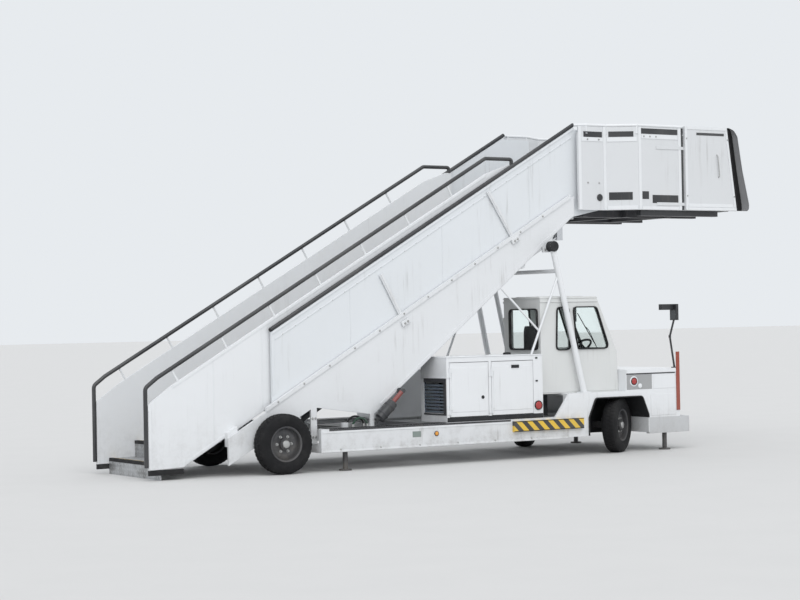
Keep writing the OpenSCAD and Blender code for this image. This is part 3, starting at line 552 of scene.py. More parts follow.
def relief(g, height, strength, distance, edge):
    """A bump over normals that are rounded at the edges, if edge isn't 0."""
    sockets = {"Height": height, "Strength": strength, "Distance": distance}
    if edge:
        sockets["Normal"] = g.add("Bevel", {"Radius": edge}, samples=4).outputs[0]
    return g.add("Bump", sockets).outputs[0]


def painted(name, paint, streaks=0.3, splash=0.35, splash_height=0.8, gloss=0.30, coat=0.25, edge=0.004):
    """Sheet metal paint with weathering."""
    mat, g, shader = new_material(name)
    w = weathered(g, paint, streaks, splash, splash_height, gloss)
    wire(g, shader, w.outputs["Color"], w.outputs["Roughness"],
         relief(g, w.outputs["Height"], 0.25, 0.002, edge))
    shader.inputs["Coat Weight"].default_value = coat
    shader.inputs["Coat Roughness"].default_value = 0.15
    return mat


def moulded(name, base, worn, wear, grain, strength=0.25, distance=0.0008, edge=0.002):
    """Rubber or plastic with grain and wear."""
    mat, g, shader = new_material(name)
    sockets = {"Base": base, "Worn": worn, "Wear": wear, "Grain": grain}
    w = g.add("Group", sockets, node_tree=GROUPS["moulded_grain"])
    normal = relief(g, w.outputs["Height"], strength, distance, edge)
    wire(g, shader, w.outputs["Color"], w.outputs["Roughness"], normal)
    shader.inputs["Specular IOR Level"].default_value = 0.3
    return mat


def metal(name, colour, rough):
    """Bare metal with a light mottle."""
    mat, g, shader = new_material(name)
    spread = g.add("Mapping", {"Vector": g.place(), "Scale": (8.0, 8.0, 8.0)}).outputs[0]
    n = g.noise(spread, 6.0, 6.0, 0.6)
    darker = [c * 0.62 for c in colour]
    wire(g, shader, g.mix(g.times(n, 0.5), colour, darker), g.plus(rough, g.times(n, 0.22)),
         relief(g, n, 0.12, 0.0006, 0.0))
    shader.inputs["Metallic"].default_value = 1.0
    return mat


def glass(name, tint):
    """Window glass, a little green, with dust."""
    mat, g, shader = new_material(name)
    dust = g.ramp(g.noise(g.place(), 3.0, 6.0, 0.6), 0.45, 0.8)
    wire(g, shader, g.mix(g.times(dust, 0.2), tint, (0.62, 0.62, 0.6)), g.plus(0.02, g.times(dust, 0.06)))
    shader.inputs["Transmission Weight"].default_value = 1.0
    shader.inputs["IOR"].default_value = 1.12
    return mat


def lens(name, colour):
    """Lamp plastic with crossed fine flutes under a clear coat."""
    mat, g, shader = new_material(name)
    pos = g.add("SeparateXYZ", {0: g.place()})
    wave = g.maths("SINE", g.times(g.plus(pos.outputs["Y"], pos.outputs["X"]), 900.0))
    lift = g.maths("SINE", g.times(pos.outputs["Z"], 700.0))
    both = g.times(g.plus(wave, lift), 0.5)
    lighter = [min(1, c * 1.8 + 0.02) for c in colour]
    bump = g.add("Bump", {"Height": both, "Strength": 0.4, "Distance": 0.0012}).outputs[0]
    wire(g, shader, g.mix(g.plus(g.times(both, 0.25), 0.35), colour, lighter),
         g.plus(0.12, g.times(g.noise(g.place(), 30.0), 0.12)), bump)
    shader.inputs["Coat Weight"].default_value = 0.7
    shader.inputs["Coat Roughness"].default_value = 0.05
    return mat


MAT = {}


def build_materials():
    """All finishes of the vehicle, under short names in MAT."""
    colours = bpy.context.scene.stairs_colours
    GROUPS.update(weathering=weathering_group(), step_plate=tread_group(), moulded_grain=grain_group(),
                  warning_stripes=stripe_group())
    white = tuple(colours.white)
    shade = tuple(c * 0.95 for c in white)
    for key, *values in (
        ("white", "stairs_white", white, 0.22, 0.30, 0.9),
        ("panel", "panel_white", (shade[0] * 0.985, shade[1], shade[2] * 1.01), 0.30, 0.2, 0.9),
        ("wall", "platform_wall_white", tuple(c * 0.88 for c in white), 0.30, 0.2, 0.9),
        ("frame", "frame_white", shade, 0.45, 0.45, 1.1),
        ("body", "body_white", white, 0.30, 0.60, 0.8),
        ("rail", "chassis_white", tuple(c * 0.93 for c in white), 0.55, 0.85, 0.62),
        # Painted shade: this grey stands for the shade inside the nose's recess
        ("recess", "recess_painted_shade", (0.36, 0.365, 0.37), 0.35, 0.5, 0.9),
        ("cab", "cab_paint", tuple(colours.cab), 0.25, 0.15, 1.2),
        ("bumper", "bumper_grey", (0.55, 0.56, 0.57), 0.4, 0.7, 0.5, 0.4),
        ("dark", "dark_steel", (0.036, 0.037, 0.043), 0.5, 0.7, 0.6, 0.45, 0.05),
        ("blue_grey", "grille_blue_grey", (0.10, 0.13, 0.17), 0.4, 0.3, 0.9, 0.42, 0.1),
        ("rail_black", "handrail_black", (0.022, 0.023, 0.026), 0.35, 0.1, 0.5, 0.34, 0.2, 0.0),
        ("yellow", "warning_yellow", tuple(colours.yellow), 0.3, 0.3, 0.9, 0.4, 0.1),
        ("red_brown", "marker_red_brown", (0.30, 0.055, 0.03), 0.3, 0.3, 0.9, 0.4, 0.2),
        ("cylinder_red", "cylinder_dark_red", (0.21, 0.025, 0.02), 0.3, 0.3, 0.9, 0.35, 0.3),
        ("label", "label_grey_green", (0.22, 0.27, 0.25), 0.2, 0.5, 0.6, 0.4, 0.1),
    ):
        MAT[key] = painted(*values)
    for key, *values in (
        ("folds", "buffer_folds", (0.25, 0.252, 0.258), (0.38, 0.38, 0.38), 0.5, 300.0),
        ("rubber", "black_rubber", (0.018, 0.018, 0.019), (0.09, 0.088, 0.085), 0.5, 300.0),
        ("tyre", "tyre_rubber", (0.008, 0.008, 0.009), (0.038, 0.037, 0.035), 0.4, 420.0, 0.3, 0.0012),
        ("plastic", "black_plastic", (0.025, 0.026, 0.028), (0.09, 0.09, 0.09), 0.3, 520.0),
        ("seat", "seat_cover", (0.03, 0.031, 0.034), (0.10, 0.10, 0.10), 0.35, 380.0, 0.35, 0.0015, 0.0),
        ("hose_green", "hose_green", (0.035, 0.07, 0.05), (0.12, 0.14, 0.12), 0.4, 600.0),
    ):
        MAT[key] = moulded(*values)
    for key, *values in (
        ("chrome", "rod_chrome", (0.75, 0.76, 0.78), 0.12),
        ("zinc", "zinc_bolts", (0.56, 0.56, 0.55), 0.34),
        ("mirror", "mirror_glass", (0.12, 0.125, 0.13), 0.02),
    ):
        MAT[key] = metal(*values)
    MAT["glass"] = glass("window_glass", (0.86, 0.90, 0.89))
    for key, *values in (
        ("red", "lamp_red", (0.30, 0.012, 0.01)),
        ("amber", "lamp_amber", (0.62, 0.24, 0.02)),
        ("clear", "lamp_clear", (0.42, 0.43, 0.44)),
    ):
        MAT[key] = lens(*values)

    mat, g, shader = new_material("step_aluminium")
    n = g.noise(g.place(), 5.0, 6.0, 0.62)
    t = g.add("Group", {"Cell": 0.05}, node_tree=GROUPS["step_plate"])
    base = g.mix(g.ramp(n, 0.38, 0.7), (0.50, 0.51, 0.52), (0.26, 0.26, 0.255))
    colour = g.mix(g.times(t.outputs["Mask"], 0.45), base, (0.72, 0.73, 0.74))
    wire(g, shader, colour, g.plus(0.36, g.times(n, 0.3)), relief(g, t.outputs["Height"], 0.8, 0.003, 0.003))
    shader.inputs["Metallic"].default_value = 0.75
    MAT["step"] = mat

    mat, g, shader = new_material("warning_stripe_paint")
    s = g.add("Group", {"Width": 0.16}, node_tree=GROUPS["warning_stripes"])
    colour = g.mix(s.outputs["Mask"], tuple(colours.yellow), (0.02, 0.02, 0.022))
    w = weathered(g, colour, 0.3, 0.5, 0.7, 0.4)
    wire(g, shader, w.outputs["Color"], w.outputs["Roughness"],
         relief(g, w.outputs["Height"], 0.2, 0.001, 0.003))
    MAT["stripes"] = mat


CAD_FINISH = {
    "white": ["lower_side_panels", "front_posts", "platform_rails"],
    "wall": ["platform_walls", "guard_right", "guard_left"],
    "panel": ["upper_side_panels"],
    "frame": ["stair_frame"],
    "body": ["front_body", "engine_box", "tank_box", "engine_door", "service_door"],
    "rail": ["chassis_frame"],
    "cab": ["cab_shell", "cab_door"],
    "bumper": ["front_bumper", "jack_tubes"],
    "dark": ["rim_front_right", "rim_front_left", "rim_rear_right", "rim_rear_left", "platform_beams",
             "deck_plates", "front_axle", "rear_axle", "knuckle_right", "knuckle_left", "engine_block",
             "extension_barrels", "jack_rear_right", "jack_rear_left", "jack_front_right",
             "jack_front_left"],
    "blue_grey": ["radiator_grille"],
    "chrome": ["extension_rods"],
    "step": ["lower_steps", "upper_steps", "platform_floor"],
    "rail_black": ["lower_handrails", "upper_handrails", "mirrors"],
    "rubber": ["foot_edges", "platform_edge", "guard_seal_right", "guard_seal_left", "hoses"],
    "tyre": ["tyre_front_right", "tyre_front_left", "tyre_rear_right", "tyre_rear_left"],
    "glass": ["cab_windows", "cab_door_window"],
    "seat": ["cab_seat"],
    "plastic": ["dash", "steering_wheel"],
    "red": ["lamps"],
    "stripes": ["hazard_step"],
}


class STAIRS_OT_finishes(bpy.types.Operator):
    """Build the finishes and put them on the frame's own nodes"""

    bl_idname = "stairs.finishes"
    bl_label = "Finishes of the frame"

    def execute(self, context):
        build_materials()
        for key, names in CAD_FINISH.items():
            for name in names:
                mesh = NODES[name].data
                mesh.materials.clear()
                mesh.materials.append(MAT[key])
        return {"FINISHED"}


# Stage and camera

CAMERA_FROM_FOOT = (-9.582, -21.057, 1.793)
HEADING = math.radians(43.714)
PITCH = math.radians(7.99)
ROLL = math.radians(-1.16)
PHOTO_SIZE = (800, 600)
PHOTO_F = 761.07
TARGET_PX = (213.5, 404.0)
ZOOM = 2.62
SENSOR = 36.0


def photo_axes():
    """The photograph's camera axes: right, up and forward, from heading, pitch and roll."""
    right = np.array([math.sin(HEADING), -math.cos(HEADING), 0.0])
    ahead = np.array([math.cos(HEADING), math.sin(HEADING), 0.0])
    forward = ahead * math.cos(PITCH) + np.array([0, 0, math.sin(PITCH)])
    up = -ahead * math.sin(PITCH) + np.array([0, 0, math.cos(PITCH)])
    r2 = math.cos(ROLL) * right + math.sin(ROLL) * up
    u2 = -math.sin(ROLL) * right + math.cos(ROLL) * up
    return r2, u2, forward


class STAIRS_OT_stage(bpy.types.Operator):
    """Set the camera at the photograph's place, the pale floor, the backdrop and the soft light"""

    bl_idname = "stairs.stage"
    bl_label = "Stage, light and camera"

    def execute(self, context):
        scene = context.scene
        scene.view_settings.view_transform = "Standard"
        right, up, forward = photo_axes()
        aim = forward + right * (TARGET_PX[0] - PHOTO_SIZE[0] / 2) / PHOTO_F
        aim += up * (PHOTO_SIZE[1] / 2 - TARGET_PX[1]) / PHOTO_F
        aim /= np.linalg.norm(aim)
        x_axis = right - aim * (right @ aim)
        x_axis /= np.linalg.norm(x_axis)
        y_axis = np.cross(-aim, x_axis)
        cam_data = bpy.data.cameras.new("camera")
        cam_data.sensor_width = SENSOR
        cam_data.lens = PHOTO_F * ZOOM / PHOTO_SIZE[0] * SENSOR
        cam_data.clip_end = 400.0
        cam = bpy.data.objects.new("camera", cam_data)
        scene.collection.objects.link(cam)
        m = np.eye(4)
        m[:3, :3] = np.stack([x_axis, y_axis, -aim], axis=1)
        m[:3, 3] = spot(*CAMERA_FROM_FOOT)
        cam.matrix_world = Matrix(m.tolist())
        scene.camera = cam

        mat, g, shader = new_material("stage_floor")
        n = g.noise(g.place(), 1.4, 6.0, 0.6)
        colour = g.mix(g.times(n, 0.25), (0.66, 0.655, 0.645), (0.52, 0.52, 0.515))
        g.feed(shader.inputs["Base Color"], colour)
        shader.inputs["Roughness"].default_value = 0.9
        size = 140.0
        mesh = bpy.data.meshes.new("stage_floor")
        mesh.from_pydata([(-size, -size, 0), (size, -size, 0), (size, size, 0), (-size, size, 0)],
                         [], [(0, 1, 2, 3)])
        mesh.materials.append(mat)
        floor = bpy.data.objects.new("stage_floor", mesh)
        scene.collection.objects.link(floor)

        world = bpy.data.worlds.new("stage_world")
        world.use_nodes = True
        tree = world.node_tree
        tree.nodes.clear()
        wg = Graph(tree)
        path = wg.add("LightPath")
        seen = wg.plus(path.outputs["Is Camera Ray"], path.outputs["Is Glossy Ray"])
        seen = wg.plus(seen, path.outputs["Is Transmission Ray"], clamp=True)
        light = wg.add("Background", {"Color": (0.93, 0.96, 1.0, 1), "Strength": 0.78})
        backdrop = wg.add("Background", {"Color": (0.80, 0.83, 0.86, 1), "Strength": 1.0})
        mixer = wg.add("MixShader", {0: seen, 1: light.outputs[0], 2: backdrop.outputs[0]})
        out = wg.add("OutputWorld")
        tree.links.new(mixer.outputs[0], out.inputs[0])
        scene.world = world

        for name, direction, energy, angle in (
            ("sky_key", (0.30, 0.62, -0.72), 1.35, 60.0),
            ("sky_fill", (-0.75, -0.35, -0.55), 0.35, 90.0),
        ):
            lamp = bpy.data.lights.new(name, "SUN")
            lamp.energy = energy
            lamp.angle = math.radians(angle)
            obj = bpy.data.objects.new(name, lamp)
            obj.rotation_euler = Vector(direction).to_track_quat("-Z", "Y").to_euler()
            scene.collection.objects.link(obj)
        return {"FINISHED"}


# Wheels

TYRE_HALF = 0.0975
TYRE_SECTION = [(0.200, -0.0775), (0.206, -0.083), (0.222, -0.090), (0.245, -0.0965), (0.272, -TYRE_HALF),
                (0.300, -0.094), (0.322, -0.086), (0.336, -0.077), (0.3425, -0.066), (0.3435, -0.030),
                (0.3435, 0.030), (0.3425, 0.066), (0.336, 0.077), (0.322, 0.086), (0.300, 0.094),
                (0.272, TYRE_HALF), (0.245, 0.0965), (0.222, 0.090), (0.206, 0.083), (0.200, 0.0775)]
TREAD_ROWS = ((-0.074, -0.030, 0.0), (-0.024, 0.024, 0.5), (0.030, 0.074, 0.0))
WALL_RIDGES = ((0.232, 0.0935), (0.262, 0.0975), (0.308, 0.0912))
RIM_LIP = [(0.186, 0.070), (0.187, 0.0775), (0.196, 0.084), (0.204, 0.086), (0.207, 0.083),
           (0.200, 0.0765), (0.1995, 0.070)]
RIM_DISH = [(0.070, 0.0245), (0.110, 0.0245), (0.128, 0.030), (0.150, 0.030), (0.168, 0.0245),
            (0.185, 0.0245), (0.185, 0.0235), (0.070, 0.0235)]
HUB_CAP = [(0.046, 0.060), (0.046, 0.078), (0.040, 0.086), (0.020, 0.090), (0.004, 0.091)]
AHEAD = np.array([1.0, 0.0, 0.0])
UPWARD = np.array([0.0, 0.0, 1.0])


def ring_part(section, axis, sides):
    """A closed ring round a wheel's own middle from its section, points (r, h).

    P = h A + r (U cos t + V sin t), where A is the axle's direction, U points ahead and V upwards.
    """
    t = np.arange(sides) * 2 * math.pi / sides
    ring = np.cos(t)[None, :, None] * AHEAD + np.sin(t)[None, :, None] * UPWARD
    prof = np.asarray(section, float)
    verts = (prof[:, 1, None, None] * axis + prof[:, 0, None, None] * ring).reshape(-1, 3)
    return verts, outward(verts, grid_faces(len(prof), sides, wrap_rows=True, wrap_cols=True))


def tread_row(low, high, shift, axis, count):
    """One row of curved tread blocks between two heights along the axle, shifted by a part of a block.

    A block is three rings of six points, each at angle t, height h and radius r as in ring_part.
    """
    step = 2 * math.pi / count
    gap, lean, chamfer = 0.13 * step, 0.10 * step, 0.0015
    start = (np.arange(count)[:, None] + shift) * step
    a0, a1 = start + gap, start + step - gap
    am = (a0 + a1) / 2
    ang = np.concatenate([a0, am, a1, a1 + lean, am + lean, a0 + lean], 1)
    hh = np.array([low, low, low, high, high, high])[None, :] * np.ones((count, 1))
    crown = np.where(np.abs(hh) > 0.07, 0.3455, 0.350)
    mid_h = (low + high) / 2
    rings = []
    for rad, drawn in ((np.full_like(crown, 0.337), 0.0), (crown - chamfer, 0.0), (crown, chamfer)):
        h2 = mid_h + (hh - mid_h) * (1 - drawn / (high - low) * 2)
        a2 = am + (ang - am) * (1 - drawn * 2 / 0.03)
        turn = np.cos(a2)[..., None] * AHEAD + np.sin(a2)[..., None] * UPWARD
        rings.append(h2[..., None] * axis + rad[..., None] * turn)
    block = np.stack(rings, 1).reshape(count, 18, 3)
    one = outward(block[0], capped_faces(3, 6))
    return block.reshape(-1, 3), [tuple(i + 18 * n for i in f) for n in range(count) for f in one]


def tyre_parts(axis):
    """A tyre about the wheel's own middle: its carcass, three rows of blocks and ridges on both walls."""
    parts = [ring_part(TYRE_SECTION, axis, 96)]
    count = bpy.context.scene.stairs_sizes.tyre_blocks
    parts += [tread_row(low, high, shift, axis, count) for low, high, shift in TREAD_ROWS]
    for radius, h in WALL_RIDGES:
        for s in (-1, 1):
            ridge = [(radius - 0.0022, s * (h - 0.001)), (radius - 0.001, s * (h + 0.0006)),
                     (radius + 0.001, s * (h + 0.0006)), (radius + 0.0022, s * (h - 0.001))]
            parts.append(ring_part(ridge, axis, 96))
    return parts


def wheel_part(parts, centre, angle):
    """Parts about a wheel's own middle as one, turned by its steering angle and moved to its place."""
    verts, faces = join_parts(parts)
    return turn_z(verts, angle) + centre, faces


def round_wheel(radius, degrees, h):
    """A place at a radius and an angle round the wheel's own middle."""
    a = math.radians(degrees)
    return np.array([radius * math.cos(a), h, radius * math.sin(a)])


def wheel_places():
    """Name, side, middle and steering angle of each wheel; the front ones stand off their kingpins."""
    out = []
    for side, word in ((-1, "right"), (1, "left")):
        arm = turn_z([0.0, side * 0.135, 0.0], STEER)
        out.append(("front_" + word, side, spot(6.440, side * 0.795, AXLE_Z) + arm, STEER))
        out.append(("rear_" + word, side, spot(1.6, side * 0.93, AXLE_Z), 0.0))
    return out


class STAIRS_OT_wheels(bpy.types.Operator):
    """Tyres with tread blocks, rim lips, hand holes, wheel nuts and hub caps"""

    bl_idname = "stairs.wheels"
    bl_label = "Wheels"

    def execute(self, context):
        for name, side, centre, angle in wheel_places():
            body = name + "_wheel"
            axis = np.array([0.0, side, 0.0])
            tyre = make_piece("tyre_tread_" + name, wheel_part(tyre_parts(axis), centre, angle), "tyre",
                              body, 40)
            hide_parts("tyre_" + name)
            rims = [ring_part(np.array(RIM_LIP) * [1, s], axis, 72) for s in (-1, 1)]
            rims.append(ring_part(RIM_DISH, axis, 72))
            nuts = [hex_bolt(round_wheel(0.094, 60 * k, side * 0.0245), axis, 0.024, 0.020)
                    for k in range(6)]
            nuts.append(turned(HUB_CAP, np.zeros(3), axis, 40))
            hole = [(0.0155, 0), (0.0155, 0.0006), (0.0145, 0.0008)]
            holes = [turned(hole, round_wheel(0.139, 45 * k + 22.5, side * 0.0302), axis, 20)
                     for k in range(8)]
            for word, parts, finish, slot in (("rim_lips_", rims, "dark", "dark_steel"),
                                              ("wheel_nuts_", nuts, "zinc", "bright_steel"),
                                              ("hand_holes_", holes, "dark", "dark_steel")):
                make_piece(word + name, wheel_part(parts, centre, angle), finish, body, 35)
        return {"FINISHED"}


# Handrails


class STAIRS_OT_handrails(bpy.types.Operator):
    """Tubes of the lower flight's black and the platform's white handrails, and the upper ones' end caps"""

    bl_idname = "stairs.handrails"
    bl_label = "Handrails"

    def execute(self, context):
        parts = []
        top = rail_z(LOWER_RAIL_Z, 4.67)
        for y in (-0.705, 0.705):
            path = side_outline([(-0.024, 0.15), (-0.024, 1.0447),
                                 (0.12, rail_z(LOWER_RAIL_Z, 0.12)), (4.67, top),
                                 (5.07, top), (5.07, 3.669)], y)
            parts.append(tube(path, 0.048, 0.07, 24))
        rail = make_piece("handrail_tubes_lower", join_parts(parts), "rail_black", "vehicle",
                          50)
        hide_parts("lower_handrails")

        parts = []
        for s in (-1, 1):
            path = [[x, s * y, RAIL_TOP_Z] for x, y in ((6.0, 0.765), (6.12, 0.859),
                                                        (6.45, 0.859), (6.8, 1.075),
                                                        (8.28, 1.075))]
            parts.append(tube(at(path), 0.036, 0.09, 20))
            for x, y in ((6.14, 0.859), (6.45, 0.859), (6.8, 1.072), (7.56, 1.075), (8.275, 1.075)):
                foot = spot(x, s * y, RAIL_TOP_Z - 0.11)
                post = [(0.026, 0), (0.026, 0.006), (0.015, 0.010), (0.015, 0.107)]
                parts.append(turned(post, foot, (0, 0, 1), 20))
        rail = make_piece("handrail_tubes_platform", join_parts(parts), "white", "upper_flight",
                          50)
        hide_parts("platform_rails")

        parts = []
        dome = [(0.0245, -0.004), (0.0245, 0.004), (0.020, 0.013), (0.010, 0.018), (0.002, 0.019)]
        for y in (-0.765, 0.765):
            for x, sign in ((1.55, -1), (6.0, 1)):
                parts.append(turned(dome, spot(x, y, rail_z(UPPER_RAIL_Z, x)), UP_SLOPE * sign, 24))
        make_piece("handrail_ends_upper", join_parts(parts), "plastic", "upper_flight", 50)
        return {"FINISHED"}


# Side panels

JOINT_WIDTH = 0.012
RIVET = [(0.006, 0), (0.006, 0.001), (0.0035, 0.003), (0.0008, 0.0036)]


def strip(points, y, side, depth, bevel=0.002):
    """A flat strip on a side face: an outline in the side view raised outwards by depth."""
    return plate(side_outline(points, side * y), (0, side, 0), depth, bevel)


def rect(x0, x1, z0, z1):
    """A rectangle in the side view."""
    return [(x0, z0), (x1, z0), (x1, z1), (x0, z1)]


def band(low, high, x0, x1):
    """A band of the slope's direction between two heights."""
    return [(x0, rail_z(low, x0)), (x1, rail_z(low, x1)), (x1, rail_z(high, x1)), (x0, rail_z(high, x0))]


def bar_outline(a, b, width):
    """A straight bar between two points of the side view."""
    a, b = np.array(a, float), np.array(b, float)
    d = (b - a) / np.linalg.norm(b - a)
    n = np.array([-d[1], d[0]]) * width / 2
    return [tuple(a + n), tuple(a - n), tuple(b - n), tuple(b + n)]


class STAIRS_OT_panels(bpy.types.Operator):
    """Edge strips, sheet joints and rivets on the stairs' side panels, and the frame's struts and bolts"""

    bl_idname = "stairs.panels"
    bl_label = "Side panel strips"

    def execute(self, context):
        depth = context.scene.stairs_sizes.rib_depth
        width = context.scene.stairs_sizes.bolt_width
        up, low, frame_parts, bolts_up, bolts_frame = [], [], [], [], []
        for s in (-1, 1):
            for low_z, high_z, x0, x1, lift in ((-0.062, -0.030, 1.56, 5.99, 0.004),
                                                (-0.150, -0.128, 1.60, 5.96, 0)):
                edge = band(UPPER_RAIL_Z + low_z, UPPER_RAIL_Z + high_z, x0, x1)
                up.append(strip(edge, UPPER_Y, s, depth + lift))
            upright = [(1.555, rail_z(UPPER_RAIL_Z - 0.14, 1.555)),
                       (1.59, rail_z(UPPER_RAIL_Z - 0.12, 1.59)),
                       (1.59, rail_z(CHORD_Z + 0.12, 1.59)), (1.555, rail_z(CHORD_Z + 0.12, 1.555))]
            up.append(strip(upright, UPPER_Y, s, depth))
            for x in (2.62, 3.95, 5.28):
                joint = band(CHORD_Z + 0.06, UPPER_RAIL_Z - 0.152, x, x + JOINT_WIDTH)
                up.append(strip(joint, UPPER_Y, s, 0.0022, 0.0008))
            for x in np.arange(1.7, 5.95, 0.17):
                place = spot(x, s * (UPPER_Y + depth), rail_z(UPPER_RAIL_Z - 0.139, x))
                bolts_up.append(turned(RIVET, place, (0, s, 0), 10))
            for outline in (band(LOWER_RAIL_Z - 0.228, LOWER_RAIL_Z - 0.192, 0.31, 4.66),
                            band(-0.1005, -0.0565, 0.45, 1.0), rect(0.004, 0.040, 0.125, 0.80)):
                low.append(strip(outline, LOWER_Y, s, depth))
            for x in (0.82, 1.45):
                joint = band(-0.05, LOWER_RAIL_Z - 0.232, x, x + JOINT_WIDTH)
                low.append(strip(joint, LOWER_Y, s, 0.0022, 0.0008))
            for a, b in (((3.05, 2.30), (3.36, 1.74)), ((4.64, 3.32), (5.01, 2.74))):
                frame_parts.append(strip(bar_outline(a, b, 0.052), 0.793, s, 0.018, 0.003))
                frame_parts.append(strip(bar_outline(a, b, 0.020), 0.810, s, 0.008, 0.002))
                x, z = b[0] + 0.015, b[1] - 0.03
                corners = [(x - 0.05, z - 0.045), (x + 0.06, z + 0.015), (x + 0.035, z + 0.07),
                           (x - 0.075, z + 0.015)]
                frame_parts.append(strip(corners, 0.834, s, 0.014, 0.003))
                bolts_frame.append(hex_bolt(spot(x - 0.02, s * 0.848, z), (0, s, 0), width))
                bolts_frame.append(hex_bolt(spot(x + 0.02, s * 0.848, z + 0.025), (0, s, 0), width))
            frame_parts.append(strip(bar_outline((3.0, 0.745), (5.9, 3.03), 0.04), FRAME_Y,
                                     s, depth, 0.0015))
            for x in np.arange(1.6, 5.8, 0.35):
                bolts_frame.append(hex_bolt(spot(x, s * 0.834, rail_z(CHORD_Z + 0.025, x)),
                                            (0, s, 0), width * 0.8))
            for x, z in ((2.06, 0.40), (2.10, 0.40), (2.06, 0.62), (2.10, 0.62), (5.49, 2.60), (5.55, 2.60)):
                bolts_frame.append(hex_bolt(spot(x, s * FRAME_Y, z), (0, s, 0), width))
        for name, parts, mat, body, slot in (
            ("panel_strips_upper", up, "panel", "upper_flight", "white_paint"),
            ("panel_strips_lower", low, "white", "vehicle", "white_paint"),
            ("frame_ribs", frame_parts, "frame", "vehicle", "white_paint"),
            ("panel_rivets_upper", bolts_up, "zinc", "upper_flight", "bright_steel"),
            ("frame_bolts", bolts_frame, "zinc", "vehicle", "bright_steel"),
        ):
            make_piece(name, join_parts(parts), mat, body, 35)
        return {"FINISHED"}


# Steps

NOSING = np.array([[-0.004, 0.004], [0.0445, 0.004], [0.0455, 0.0008], [0.0455, 0.0002], [0.0, 0.0002],
                   [-0.0002, -0.0002], [-0.0002, -0.034], [-0.004, -0.034]])


class STAIRS_OT_steps(bpy.types.Operator):
    """A rubber nosing strip and a yellow line on every step"""

    bl_idname = "stairs.steps"
    bl_label = "Step nosings"

    def execute(self, context):
        for name, first_x, first_z, count, half, body in (
            ("lower", 0.15, 0.185, 15, 0.684, "vehicle"),
            ("upper", 6.0 - 12 * STEP_RUN, FLOOR_Z - 12 * STEP_RISE, 12, 0.742, "upper_flight"),
        ):
            rubber, yellow = [], []
            for i in range(count):
                x, z = first_x + STEP_RUN * i, first_z + STEP_RISE * i
                rubber.append(across(x + NOSING[:, 0], z + NOSING[:, 1], (-half, half)))
                yellow.append(box_part((x + 0.052, -half, z + 0.0002), (x + 0.070, half, z + 0.0016), 0.002))
            make_piece("step_nosings_" + name, join_parts(rubber), "rubber", body, 30)
            make_piece("step_lines_" + name, join_parts(yellow), "yellow", body, 30)
        return {"FINISHED"}


# Platform and its guards

BUFFER_BACK = 8.30
BUFFER = np.array([[8.3005, 3.108], [8.372, 3.108], [8.404, 3.120], [8.424, 3.146], [8.429, 3.172],
                   [8.424, 3.198], [8.404, 3.222], [8.372, 3.233], [8.3005, 3.233]])


def guard_front(z):
    """Distance of the guard's leaning front edge at height z."""
    return 8.44 - 0.15 * (z - WALL_BOTTOM_Z) / 1.10


def up_to_front(x, z0, z1, gap):
    """An outline from distance x to a gap short of the guard's front edge, between two heights."""
    return [(x, z0), (guard_front(z0) - gap, z0), (guard_front(z1) - gap, z1), (x, z1)]


def bellows(side, start, end, folds):
    """Pleated rubber along the guard's leaning front edge, from start to end of its width.

    At height z its width runs forward from the guard's edge B(z) to the front line F(z), so
    x = B + (F - B) w. Outside, y is a triangle wave of w with the given number of folds; inside, flat.
    """
    rows = 48
    z = np.linspace(WALL_BOTTOM_Z + 0.003, RAIL_TOP_Z + 0.008, rows)
    back = guard_front(z) + 0.0015
    front = np.interp(z, [3.112, 3.14, 3.20, 3.65, 4.10, 4.18, 4.21],
                      [8.62, 8.652, 8.657, 8.545, 8.467, 8.40, 8.30])
    w = np.linspace(start, end, 2 * folds + 1)
    wave = np.where(np.arange(2 * folds + 1) % 2 == 0, 1.122, 1.1495)
    x = back[:, None] + (front - back)[:, None] * w
    outer = np.stack([x, np.ones((rows, 1)) * wave, z[:, None] * np.ones(len(w))], 2)
    inner = outer[:, ::-1].copy()
    inner[..., 1] -= 0.0205
    verts = np.concatenate([outer, inner], 1)
    verts[..., 1] *= side
    faces = capped_faces(rows, verts.shape[1])
    verts = at(verts.reshape(-1, 3))
    return verts, outward(verts, faces)


def flare_plate(side, x0, x1, z0, z1, depth, lift=0.0):
    """A plate on the flared part of the platform's wall, between two distances and two heights."""
    y0, y1 = (WALL_Y + (PLATFORM_Y - WALL_Y) * (x - 6.45) / 0.35 for x in (x0, x1))
    a, b = at([[x0, side * y0, 0], [x1, side * y1, 0]])
    out = np.cross(b - a, [0, 0, 1.0]) * (1 if side < 0 else -1)
    out /= np.linalg.norm(out)
    quad = np.array([a + [0, 0, z0], b + [0, 0, z0], b + [0, 0, z1], a + [0, 0, z1]]) + out * lift
    return plate(quad, out, depth, min(0.0015, depth / 2))


